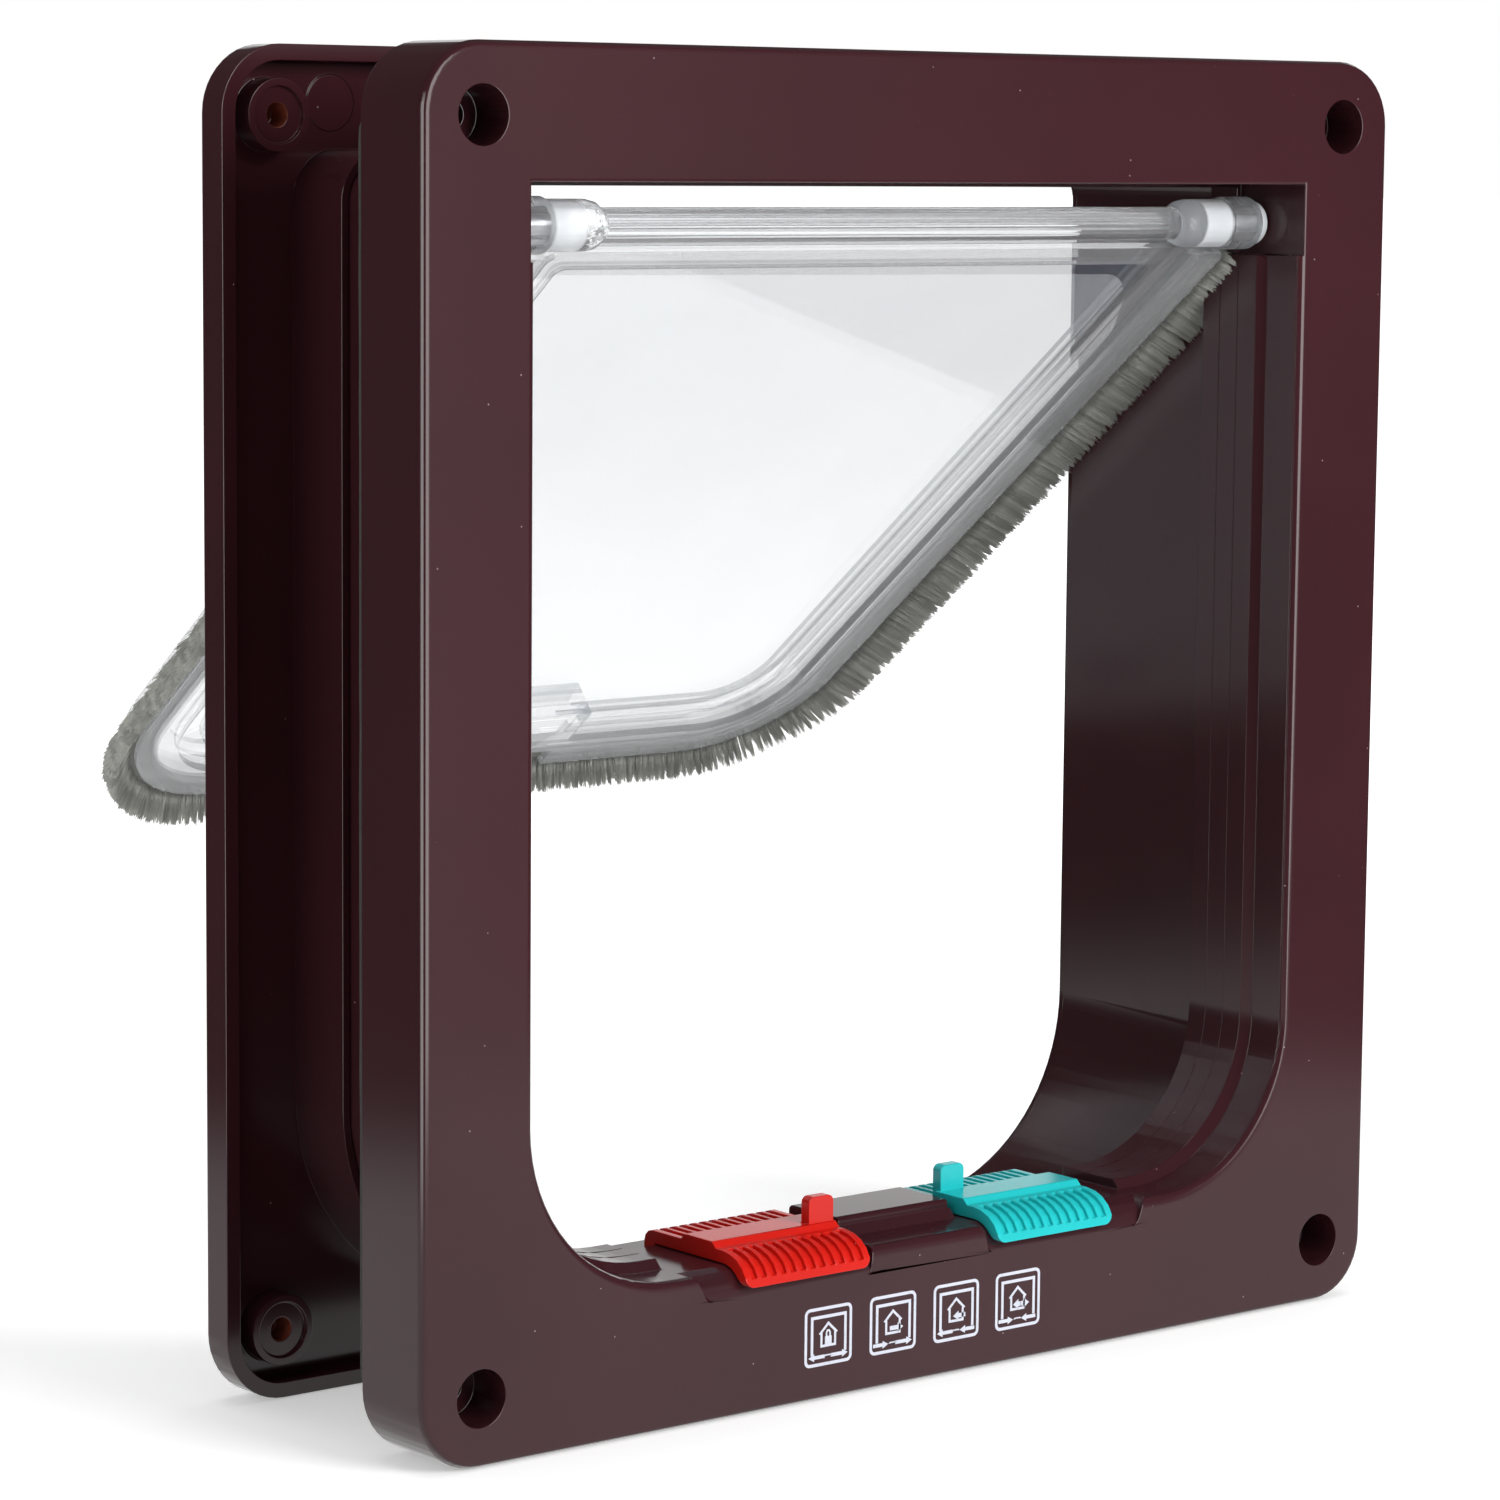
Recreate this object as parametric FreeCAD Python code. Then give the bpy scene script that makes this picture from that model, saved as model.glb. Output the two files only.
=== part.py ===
import FreeCAD, Part
import math
import os
from collections import namedtuple

# Four-way locking cat flap: two frames with a telescoping tunnel, a clear flap and two lock sliders.
#
# Millimetres. X runs across the flap, +Y goes through the door from the room to the outside, +Z is up.
# The origin is the centre of the four fixing screws, in the plane where the inside frame meets the door.
# Depths named "from the face" are counted in +Y from the room side of the inside frame.

# Outline that both frames share
frame_width = 235.0
frame_height = 250.0
frame_corner_radius = 12.5

# Inside frame: a hollow flange, open towards the door
inside_depth = 18.6
face_thickness = 2.6
flange_wall = 3.0
edge_bevel = 1.6
edge_waist = 1.0

# Fixing screws: countersunk posts in the inside frame, blind bosses in the outside one
screw_inset = 12.75
screw_hole_radius = 2.4
screw_head_radius = 5.25
screw_head_depth = 9.5
screw_post_wall = 2.0
pilot_radius = 2.2
pilot_floor = 1.3
boss_radius = 6.7
boss_recess_radius = 5.2
boss_recess_depth = 0.8
boss_setback = 0.6
ejector_disc_radius = 5.2
ejector_disc_height = 0.2
ejector_disc_inset_x = 26.9
ejector_disc_inset_z = 10.4

# Opening in the face, and the throat behind it
mouth_side_margin = 22.5
mouth_head_margin = 23.4
mouth_foot_margin = 25.2
mouth_half_width = frame_width / 2 - mouth_side_margin
mouth_top = frame_height / 2 - mouth_head_margin
mouth_bottom = mouth_foot_margin - frame_height / 2
mouth_corner_radius = 34.5
mouth_rounding = 1.5
sill_rise = 2.5
sill_wall = 2.2
rounding_steps = 3

# Raised band that the brush wipes, on both sides and the sill
band_height = 1.5
band_start = 9.0
band_ramp = 1.8
band_end = 25.6
band_head_gap = 14.6
band_top = mouth_top - band_head_gap
band_nose_radius = 2.0
sill_band_height = 1.8

# Tunnel through the door
tunnel_side_step = 0.2
tunnel_head_step = 1.1
tunnel_foot_step = 8.2
tunnel_half_width = mouth_half_width + tunnel_side_step
tunnel_top = mouth_top + tunnel_head_step
tunnel_bottom = mouth_bottom - tunnel_foot_step
tunnel_corner_radius = 38.4
tunnel_top_radius = 6.0
tunnel_wall = 1.7
tunnel_length = 67.0
sill_rib_thickness = 1.6

# Outside frame
rear_gap = 43.7
rear_depth = 7.9
rear_plate = 2.4
rear_wall = 3.0
collar_length = 18.2
collar_wall = 1.6
collar_clearance = 0.2

# Foam draught strips
foam_thickness = 1.2
foam_end_setback = 1.5

# Hinge
hinge_depth = 13.0
hinge_head_gap = 8.4
hinge_height = mouth_top - hinge_head_gap
pin_radius = 2.0
pin_grip = 11.0
pin_length = 16.0
pin_press_clearance = 0.02
pin_running_clearance = 0.05
pocket_side_inset = 0.5
pocket_half_width = mouth_half_width - pocket_side_inset
pocket_clearance = 0.7
pocket_below_hinge = 6.1
pocket_above_hinge = 7.7
socket_boss_radius = 4.8
socket_boss_reach = 2.5

# Flap, which hangs straight down before it is swung open by swing_at_rest degrees
swing_at_rest = 51.5
flap_offset = 0.7
flap_side_gap = 4.0
flap_sill_gap = 2.7
flap_corner_radius = 27.0
flap_top_radius = 2.0
flap_rim_top = 5.6
flap_plate = 2.4
rim_thickness = 8.0
rim_width = 14.5
rim_top_width = 5.4
rim_step_width = 5.5
rim_step_thickness = 5.0
top_bar_radius = 3.2
barrel_radius = 4.7
barrel_length = 24.8
collar_ring_radius = 5.2
collar_ring_length = 7.4
collar_ring_setback = 3.2
barrel_end_clearance = 0.5
barrel_nose_radius = 4.3
barrel_nose_rounding = 1.2
dome_steps = 4
web_setback = 0.4
web_width = 3.6
web_thickness = 3.6

# Brush strip in the T-shaped slot round the flap's edge
slot_depth = 4.6
slot_width = 4.6
slot_head_depth = 1.4
slot_head_width = 6.2
brush_clearance = 0.15
brush_side_clearance = 0.4
brush_corner_reach = 2.2
brush_sill_reach = 0.3
brush_top = 8.0

# Magnets
magnet_length = 20.0
magnet_thickness = 3.0
flap_magnet_height = 6.0
flap_magnet_setback = 1.6
sill_magnet_width = 8.0
sill_magnet_cover = 1.3
magnet_clearance = 0.1
magnet_case_half_width = 26.0
magnet_case_height = 20.0

# Sill block and lock sliders
block_half_width = 13.8
block_start = 10.8
block_rise = 6.0
block_rounding = 1.0
channel_inner = 14.4
channel_outer = 57.5
slider_inner = 16.0
slider_width = 30.0
slider_travel = 7.5
slider_clearance = 0.15
slider_rise = 6.2
slider_shelf_drop = 1.1
plateau_start = 8.9
plateau_end = 17.0
shelf_ramp = 1.2
grip_start = 6.0
grip_reach = 1.6
grip_overhang = 0.9
grip_thickness = 2.4
grip_edge = 0.9
grip_corner_radius = 2.0
grip_steps = 5
rear_lip_end = 29.3
rear_lip_gap = 0.4
rear_lip_overhang = 0.8
rear_hook = 1.1
rear_lip_radius = 2.4
lip_steps = 3
groove_count = 12
groove_share = 0.56
groove_depth = 0.75
groove_margin = 1.0
recess_drop = 2.6
recess_clearance = 0.5
recess_side_run = 5.0
recess_overlap = 1.0
s_curve_pull = 0.6
tab_width = 6.0
tab_thickness = 2.4
tab_height = 5.1
tab_corner_radius = 1.3
tab_inset = 0.5
red_tab_depth = 9.0
teal_tab_depth = 16.0

# Notches that let the tabs pass, and the stops that they meet when locked
notch_clearance = 1.0
notch_depth = 5.2
stop_clearance = 0.4

# Places worked out from the sizes
face_y = -inside_depth
hinge_y = face_y + hinge_depth
throat_bottom = mouth_bottom + sill_rise
screw_x = frame_width / 2 - screw_inset
screw_z = frame_height / 2 - screw_inset
pocket_depth = hinge_depth + barrel_nose_radius + pocket_clearance
tab_inner = slider_inner + tab_inset
pocket_bottom = hinge_height - pocket_below_hinge
pocket_top = hinge_height + pocket_above_hinge
barrel_outer = pocket_half_width - barrel_end_clearance
barrel_inner = barrel_outer - barrel_length
collar_ring_outer = barrel_outer - collar_ring_setback
collar_ring_inner = collar_ring_outer - collar_ring_length
block_top = mouth_bottom + block_rise
slider_top = mouth_bottom + slider_rise
slider_shelf = slider_top - slider_shelf_drop
grip_bottom = mouth_bottom - grip_overhang
rear_lip_bottom = mouth_bottom - rear_lip_overhang
recess_bottom = mouth_bottom - recess_drop
far = 400.0

Section = namedtuple("Section", "half_width top bottom top_radius bottom_radius")

flange = Section(
    frame_width / 2,
    frame_height / 2,
    -frame_height / 2,
    frame_corner_radius,
    frame_corner_radius,
)
mouth = Section(mouth_half_width, mouth_top, mouth_bottom, 0, mouth_corner_radius)
throat = Section(
    mouth_half_width - mouth_rounding,
    mouth_top - mouth_rounding,
    throat_bottom,
    0,
    mouth_corner_radius - sill_rise,
)
band = Section(
    throat.half_width - band_height,
    throat.top,
    throat.bottom + sill_band_height,
    0,
    throat.bottom_radius - band_height,
)
tunnel = Section(tunnel_half_width, tunnel_top, tunnel_bottom, tunnel_top_radius, tunnel_corner_radius)
flap_half_width = band.half_width - flap_side_gap
flap_drop = hinge_height - band.bottom - flap_sill_gap
web_outer = flap_half_width - web_setback
brush_side_reach = flap_side_gap - brush_side_clearance
flap_edge = Section(flap_half_width, -flap_rim_top, -flap_drop, flap_top_radius, flap_corner_radius)


def vec(x, y, z):
    return FreeCAD.Vector(x, y, z)


def box(x0, x1, y0, y1, z0, z1):
    return Part.makeBox(x1 - x0, y1 - y0, z1 - z0, vec(x0, y0, z0))


def grown(section, by):
    """The same section with every side moved outward by a distance, or inward if it is negative."""
    return Section(
        section.half_width + by,
        section.top + by,
        section.bottom - by,
        max(section.top_radius + by, 0) if section.top_radius else 0,
        max(section.bottom_radius + by, 0),
    )


def outline(section, y):
    """Closed wire of a section in the plane at y, with its bottom and top corners rounded."""
    half, top, bottom, top_radius, bottom_radius = section
    corners = (
        (half, bottom, bottom_radius, -90),
        (half, top, top_radius, 0),
        (-half, top, top_radius, 90),
        (-half, bottom, bottom_radius, 180),
    )
    ends = []
    arcs = []
    for x, z, radius, start in corners:
        centre_x = x - math.copysign(radius, x)
        centre_z = z + radius if start in (-90, 180) else z - radius
        points = []
        for turn in (0, 45, 90):
            angle = math.radians(start + turn)
            points.append(vec(centre_x + radius * math.cos(angle), y, centre_z + radius * math.sin(angle)))
        ends.append((points[0], points[2]))
        arcs.append(Part.Arc(*points).toShape() if radius else None)
    edges = []
    for index in range(4):
        if arcs[index]:
            edges.append(arcs[index])
        edges.append(Part.makeLine(ends[index][1], ends[(index + 1) % 4][0]))
    return Part.Wire(edges)


def prism(section, y0, y1):
    return Part.Face(outline(section, y0)).extrude(vec(0, y1 - y0, 0))


def tapered(section, y0, other, y1):
    return Part.makeLoft([outline(section, y0), outline(other, y1)], True, True)


def profile_along_x(points, x0, x1):
    """Extrudes a closed (y, z) profile from x0 to x1."""
    wire = Part.makePolygon([vec(x0, y, z) for y, z in points + points[:1]])
    return Part.Face(wire).extrude(vec(x1 - x0, 0, 0))


def rod_y(x, z, radius, y0, y1):
    return Part.makeCylinder(radius, y1 - y0, vec(x, y0, z), vec(0, 1, 0))


def rod_x(y, z, radius, x0, x1):
    return Part.makeCylinder(radius, x1 - x0, vec(x0, y, z), vec(1, 0, 0))


def fused(shapes):
    return shapes[0].multiFuse(shapes[1:]).removeSplitter()


def mirrored(shape):
    return shape.mirror(vec(0, 0, 0), vec(1, 0, 0))


def edges_where(shape, test):
    return [edge for edge in shape.Edges if test(edge.BoundBox)]


def softened_plate(section, y_flat, y_open):
    """A prism whose outer edge at y_flat is eased in two small steps, nearly round."""
    away = math.copysign(1, y_open - y_flat)
    waist = grown(section, edge_waist - edge_bevel)
    pieces = [
        tapered(grown(section, -edge_bevel), y_flat, waist, y_flat + away * (edge_bevel - edge_waist) / 2),
        tapered(waist, y_flat + away * (edge_bevel - edge_waist) / 2, section, y_flat + away * edge_bevel),
        prism(section, min(y_flat + away * edge_bevel, y_open), max(y_flat + away * edge_bevel, y_open)),
    ]
    return fused(pieces)


def near(a, b):
    return abs(a - b) < 0.01


def four_corners(make):
    """One copy of a shape at each fixing screw; make takes the screw's x and z."""
    return [make(side * screw_x, level * screw_z) for side in (-1, 1) for level in (-1, 1)]


def quarter_round(size_a, size_b, steps):
    """Points of a quarter round, as shares of its two sizes: (inset, depth) from edge to edge."""
    points = []
    for step in range(steps + 1):
        angle = math.radians(90 * step / steps)
        points.append((size_a * math.sin(angle), size_b * (1 - math.cos(angle))))
    return points


# Inside frame


def between(section, other, share):
    """A section part of the way from one to another."""
    return Section(*[a + (b - a) * share for a, b in zip(section, other)])


def mouth_void():
    """The rounded edge of the opening, as a stack of tapers from the face into the throat."""
    depth = mouth_rounding
    pieces = []
    steps = quarter_round(1.0, depth, rounding_steps)
    for (share0, y0), (share1, y1) in zip(steps, steps[1:]):
        section0 = between(mouth, throat, share0)
        section1 = between(mouth, throat, share1)
        pieces.append(tapered(section0, face_y + y0, section1, face_y + y1))
    pieces.append(prism(mouth, face_y - 1, face_y))
    return pieces


def band_nose_void():
    """The space above the band's ends, whose front corners are rounded."""
    y0 = face_y + band_start
    nose = quarter_round(band_nose_radius, band_nose_radius, rounding_steps)
    corner = [(y0 + depth, band_top - band_nose_radius + inset) for inset, depth in nose]
    profile = corner + [(face_y + band_end, band_top), (face_y + band_end, throat.top), (y0, throat.top)]
    return profile_along_x(profile, -throat.half_width, throat.half_width)


def passage_void():
    """Everything that the cat walks through: mouth, throat, banded part and tunnel."""
    y_band = face_y + band_start
    y_ramped = y_band + band_ramp
    y_end = face_y + band_end
    pieces = mouth_void()
    pieces.append(prism(throat, face_y + mouth_rounding, y_band))
    pieces.append(tapered(throat, y_band, band, y_ramped))
    pieces.append(prism(band, y_ramped, y_end))
    pieces.append(band_nose_void())
    pieces.append(prism(tunnel, y_end, face_y + tunnel_length + 1))
    return pieces


def flange_shell():
    shell = softened_plate(flange, face_y, 0)
    cavity = prism(grown(flange, -flange_wall), face_y + face_thickness, 1)
    return shell.cut(cavity)


def screw_post(x, z):
    """The post from the face to the door that the screw's head sinks into."""
    return rod_y(x, z, screw_head_radius + screw_post_wall, face_y + face_thickness / 2, 0)


def screw_hole(x, z):
    head = rod_y(x, z, screw_head_radius, face_y - 1, face_y + screw_head_depth)
    shank = rod_y(x, z, screw_hole_radius, face_y, 1)
    return head.fuse(shank)


def hinge_socket(side):
    """Thickens the throat's side wall round the hinge pin."""
    outer = tunnel_half_width + tunnel_wall + socket_boss_reach
    post = rod_x(hinge_y, hinge_height, socket_boss_radius, throat.half_width, outer)
    return post if side > 0 else mirrored(post)


def pin_hole(side):
    radius = pin_radius + pin_running_clearance
    outer = tunnel_half_width + tunnel_wall + socket_boss_reach
    hole = rod_x(hinge_y, hinge_height, radius, throat.half_width - 1, outer + 1)
    return hole if side > 0 else mirrored(hole)


def sill_hollow():
    """Open from behind, between the throat's floor and the tunnel's floor, with ribs left standing."""
    y0 = face_y + face_thickness
    y1 = face_y + band_end
    hollow = prism(tunnel, y0, y1).cut(prism(grown(throat, sill_wall), y0 - 1, y1 + 1))
    hollow = hollow.common(box(-far, far, y0, y1, -far, throat.bottom + throat.bottom_radius))
    for x in (-channel_outer, -channel_inner, channel_inner, channel_outer):
        rib = box(x - sill_rib_thickness / 2, x + sill_rib_thickness / 2, y0, y1, tunnel.bottom, 0)
        hollow = hollow.cut(rib)
    return hollow


def sill_block():
    block = box(
        -block_half_width,
        block_half_width,
        face_y + block_start,
        face_y + band_end,
        throat.bottom - 1,
        block_top,
    )
    edges = edges_where(block, lambda b: b.ZMin > throat.bottom and near(b.XLength, 2 * block_half_width))
    return block.makeFillet(block_rounding, edges)


def slider_channel(side):
    """The gap in the sill's band where a slider runs."""
    channel = box(
        channel_inner,
        channel_outer,
        face_y - 1,
        face_y + band_end + 1,
        throat.bottom,
        throat.bottom + sill_band_height + 1,
    )
    return channel if side > 0 else mirrored(channel)


def recess_section(y):
    """Outline of the finger recess as the face shows it, with S-shaped ends."""
    above = throat.bottom + 1
    inner = channel_inner - recess_overlap
    inner_foot = slider_inner - recess_clearance
    outer_foot = channel_outer - recess_side_run
    return Part.Wire(
        [
            Part.makeLine(vec(inner, y, above), vec(inner, y, throat.bottom)),
            s_curve(inner, throat.bottom, inner_foot, recess_bottom, y),
            Part.makeLine(vec(inner_foot, y, recess_bottom), vec(outer_foot, y, recess_bottom)),
            s_curve(outer_foot, recess_bottom, channel_outer, throat.bottom, y),
            Part.makeLine(vec(channel_outer, y, throat.bottom), vec(channel_outer, y, above)),
            Part.makeLine(vec(channel_outer, y, above), vec(inner, y, above)),
        ]
    )


def s_curve(x0, z0, x1, z1, y):
    """A smooth S that leaves (x0, z0) level and arrives at (x1, z1) level."""
    pull = (x1 - x0) * s_curve_pull
    curve = Part.BezierCurve()
    curve.setPoles([vec(x0, y, z0), vec(x0 + pull, y, z0), vec(x1 - pull, y, z1), vec(x1, y, z1)])
    return curve.toShape()


def finger_recess(side):
    """Room for a slider's grip in the edge between the face and the sill."""
    curve = grip_curve(grip_thickness + slider_clearance)
    curve = [(y, z) for y, z in curve if z < throat.bottom]
    y_back = curve[0][0] + recess_clearance
    sides = Part.Face(recess_section(face_y - 1)).extrude(vec(0, y_back - face_y + 1, 0))
    back = [(y_back, throat.bottom + 1), (y_back, throat.bottom)]
    front = [(face_y, recess_bottom), (face_y - 1, recess_bottom - 1), (face_y - 1, throat.bottom + 1)]
    recess = sides.common(profile_along_x(back + curve + front, 0, far))
    return recess if side > 0 else mirrored(recess)


def sill_magnet_body(gap, bottom):
    """The bar under the sill's block, against the block's thin top; gap widens it into its pocket."""
    half = magnet_length / 2 + gap
    middle = face_y + (block_start + band_end) / 2
    half_depth = sill_magnet_width / 2 + gap
    top = block_top - sill_magnet_cover
    return box(-half, half, middle - half_depth, middle + half_depth, bottom, top)


def sill_magnet_pocket():
    return sill_magnet_body(magnet_clearance, throat.bottom - sill_wall - 1)


def hinge_pocket():
    """Shallow recess in both side walls that takes the ends of the hinge barrels."""
    y1 = face_y + pocket_depth
    return box(-pocket_half_width, pocket_half_width, face_y - 1, y1, pocket_bottom, pocket_top)


def front_frame():
    tunnel_outside = prism(grown(tunnel, tunnel_wall), face_y + face_thickness / 2, face_y + tunnel_length)
    bodies = [flange_shell(), tunnel_outside]
    bodies += four_corners(screw_post)
    bodies += [hinge_socket(side) for side in (-1, 1)]
    voids = passage_void()
    voids += four_corners(screw_hole)
    voids += [sill_hollow(), hinge_pocket()]
    voids += [pin_hole(side) for side in (-1, 1)]
    voids += [slider_channel(side) for side in (-1, 1)]
    voids += [finger_recess(side) for side in (-1, 1)]
    frame = fused(bodies).cut(voids)
    frame = frame.fuse(sill_block()).cut(sill_magnet_pocket())
    return frame.removeSplitter()


# Outside frame


def rear_boss(x, z):
    y0 = rear_gap + boss_setback
    return rod_y(x, z, boss_radius, y0, rear_gap + rear_depth - rear_plate / 2)


def rear_pilot(x, z):
    y0 = rear_gap + boss_setback
    recess = rod_y(x, z, boss_recess_radius, y0 - 1, y0 + boss_recess_depth)
    hole = rod_y(x, z, pilot_radius, y0, rear_gap + rear_depth - pilot_floor)
    return recess.fuse(hole)


def ejector_disc(side):
    """The round witness mark that an ejector leaves on the hidden face, beside an upper boss."""
    y1 = rear_gap + rear_depth - rear_plate
    x = side * (frame_width / 2 - ejector_disc_inset_x)
    z = frame_height / 2 - ejector_disc_inset_z
    return rod_y(x, z, ejector_disc_radius, y1 - ejector_disc_height, y1 + ejector_disc_height)


def rear_frame():
    y_back = rear_gap + rear_depth
    shell = softened_plate(flange, y_back, rear_gap)
    cavity = prism(grown(flange, -rear_wall), rear_gap - 1, y_back - rear_plate)
    collar_inside = grown(tunnel, tunnel_wall + collar_clearance)
    collar = prism(grown(collar_inside, collar_wall), y_back - collar_length, y_back - rear_plate / 2)
    bodies = [shell.cut(cavity), collar] + four_corners(rear_boss) + [ejector_disc(side) for side in (-1, 1)]
    voids = [prism(collar_inside, y_back - collar_length - 1, y_back + 1)] + four_corners(rear_pilot)
    return fused(bodies).cut(voids).removeSplitter()


# Foam strips


def foam_strip(x0, x1, z0, z1):
    return box(x0, x1, 0, foam_thickness, z0, z1)


def foam_strips():
    """Straight lengths on the flange's rim, which stop where its corners start to round."""
    half_w = frame_width / 2
    half_h = frame_height / 2
    run_w = half_w - frame_corner_radius - foam_end_setback
    run_h = half_h - frame_corner_radius - foam_end_setback
    return {
        "foam_strip_top": foam_strip(-run_w, run_w, half_h - flange_wall, half_h),
        "foam_strip_bottom": foam_strip(-run_w, run_w, -half_h, flange_wall - half_h),
        "foam_strip_left": foam_strip(-half_w, flange_wall - half_w, -run_h, run_h),
        "foam_strip_right": foam_strip(half_w - flange_wall, half_w, -run_h, run_h),
    }


# Flap, built hanging with its hinge axis on X and then swung open


def swung(shape):
    shape = shape.copy()
    shape.rotate(vec(0, 0, 0), vec(1, 0, 0), swing_at_rest)
    shape.translate(vec(0, hinge_y, hinge_height))
    return shape


def flap_slab(section, thickness):
    """A prism of the given thickness, centred on the flap's middle plane."""
    return prism(section, flap_offset - thickness / 2, flap_offset + thickness / 2)


def flap_inner(by):
    """The rim's inner outline, which the top bar's side follows less deeply; by widens the rim."""
    return Section(
        flap_half_width - rim_width + by,
        -flap_rim_top - rim_top_width + by,
        -flap_drop + rim_width - by,
        flap_top_radius,
        flap_corner_radius - rim_width + by,
    )


def flap_rim():
    """The thick edge: a full-thickness outer part with a lower step on its inner side."""
    full = flap_slab(flap_edge, rim_thickness).cut(flap_slab(flap_inner(rim_step_width), rim_thickness + 2))
    step = flap_slab(flap_edge, rim_step_thickness).cut(flap_slab(flap_inner(0), rim_thickness + 2))
    return [full, step]


def barrel(side):
    """Hinge barrel with a domed inner end, a collar ring and a nose that runs in the frame's pocket."""
    dome = quarter_round(barrel_radius, barrel_radius, dome_steps)
    profile = [(barrel_inner, 0)]
    profile += [(barrel_inner + depth, radius) for radius, depth in dome[1:]]
    profile += [
        (collar_ring_inner, barrel_radius),
        (collar_ring_inner, collar_ring_radius),
        (collar_ring_outer, collar_ring_radius),
        (collar_ring_outer, barrel_nose_radius),
        (barrel_outer - barrel_nose_rounding, barrel_nose_radius),
        (barrel_outer, barrel_nose_radius - barrel_nose_rounding),
        (barrel_outer, 0),
    ]
    wire = Part.makePolygon([vec(x, 0, radius) for x, radius in profile + profile[:1]])
    body = Part.Face(wire).revolve(vec(0, 0, 0), vec(1, 0, 0), 360)
    web = box(
        web_outer - web_width,
        web_outer,
        flap_offset - web_thickness / 2,
        flap_offset + web_thickness / 2,
        -flap_rim_top - 1,
        0,
    )
    whole = fused([body, web])
    return whole if side > 0 else mirrored(whole)


def pin_bore(side):
    bore = rod_x(0, 0, pin_radius + pin_press_clearance, barrel_outer - pin_grip, barrel_outer + 1)
    return bore if side > 0 else mirrored(bore)


def brush_path_trim():
    """Space kept free of slot and brush: the middle of the bottom edge and the whole top edge."""
    middle = tab_inner + tab_width + notch_clearance
    slot_floor = flap_half_width - slot_depth
    return [
        box(-middle, middle, -far, far, -far, -flap_drop / 2),
        box(-far, far, -far, far, -brush_top, far),
        box(-slot_floor, slot_floor, -far, far, -flap_drop / 2, far),
    ]


def edge_slot():
    """T-shaped slot that opens at the flap's edge and holds the brush strips."""
    core = flap_slab(grown(flap_edge, -slot_depth), rim_thickness)
    opening = flap_slab(grown(flap_edge, 2), slot_width)
    head = flap_slab(grown(flap_edge, -slot_depth + slot_head_depth), slot_head_width)
    return opening.fuse(head).cut([core] + brush_path_trim())


def tab_notches():
    """Slots that both tabs pass through when free, each beside the stop that it meets when locked."""
    inner = tab_inner - notch_clearance
    outer = tab_inner + tab_width + notch_clearance
    bottom = -flap_drop - 1
    top = -flap_drop + notch_depth
    half = rim_thickness / 2 + 1
    cuts = []
    for side in (-1, 1):
        slot = box(inner, outer, flap_offset - half, flap_offset + half, bottom, top)
        cuts.append(slot if side > 0 else mirrored(slot))
    stop_outer = outer + slider_travel + notch_clearance / 2
    red_stop = red_tab_depth + tab_thickness + stop_clearance - hinge_depth
    teal_stop = teal_tab_depth - stop_clearance - hinge_depth
    cuts.append(mirrored(box(outer - 0.01, stop_outer, flap_offset - half, red_stop, bottom, top)))
    cuts.append(box(outer - 0.01, stop_outer, teal_stop, flap_offset + half, bottom, top))
    return cuts


def flap_magnet_body(gap, outer_gap):
    """The bar in the flap's bottom edge, let in from the outer side."""
    half = magnet_length / 2 + gap
    outer_face = flap_offset + rim_thickness / 2
    bottom = -flap_drop + flap_magnet_setback - gap
    top = -flap_drop + flap_magnet_setback + flap_magnet_height + gap
    return box(-half, half, outer_face - magnet_thickness, outer_face + outer_gap, bottom, top)


def magnet_case():
    """The full-thickness block in the middle of the bottom edge."""
    case = flap_slab(flap_edge, rim_thickness)
    top = -flap_drop + magnet_case_height
    return case.common(box(-magnet_case_half_width, magnet_case_half_width, -far, far, -far, top))


def flap_panel():
    plate = flap_slab(grown(flap_edge, -2), flap_plate)
    neck = box(
        -flap_half_width + rim_width,
        flap_half_width - rim_width,
        flap_offset - flap_plate / 2,
        flap_offset + flap_plate / 2,
        -flap_rim_top - 2,
        0,
    )
    bar = rod_x(0, 0, top_bar_radius, -barrel_inner - 2, barrel_inner + 2)
    bodies = flap_rim() + [plate, neck, bar, magnet_case()] + [barrel(side) for side in (-1, 1)]
    voids = [edge_slot(), flap_magnet_body(magnet_clearance, 1)]
    voids += tab_notches()
    voids += [pin_bore(side) for side in (-1, 1)]
    return swung(fused(bodies).cut(voids).removeSplitter())


def hinge_pin(side):
    pin = rod_x(0, 0, pin_radius, barrel_outer - pin_grip, barrel_outer - pin_grip + pin_length)
    return swung(pin if side > 0 else mirrored(pin))


def brush_strip(side):
    """Backing in the slot's head with the pile standing out of the slot, low where the sliders pass."""
    root = grown(flap_edge, -slot_depth + brush_clearance)
    backing_outer = grown(flap_edge, -slot_depth + slot_head_depth - brush_clearance)
    backing = flap_slab(backing_outer, slot_head_width - 2 * brush_clearance).cut(flap_slab(root, far))
    tips = Section(
        flap_half_width + brush_side_reach,
        flap_edge.top,
        flap_edge.bottom - brush_corner_reach,
        flap_edge.top_radius,
        flap_corner_radius + brush_side_reach,
    )
    pile = flap_slab(tips, slot_width - 2 * brush_clearance).cut(flap_slab(root, far))
    half = channel_outer + 1
    low = box(-half, half, -far, far, -far, flap_edge.bottom - brush_sill_reach)
    strip = fused([backing, pile]).cut([low] + brush_path_trim())
    strip = strip.common(box(0, far, -far, far, -far, far))
    return swung(strip if side > 0 else mirrored(strip)).removeSplitter()


# Lock sliders


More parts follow.
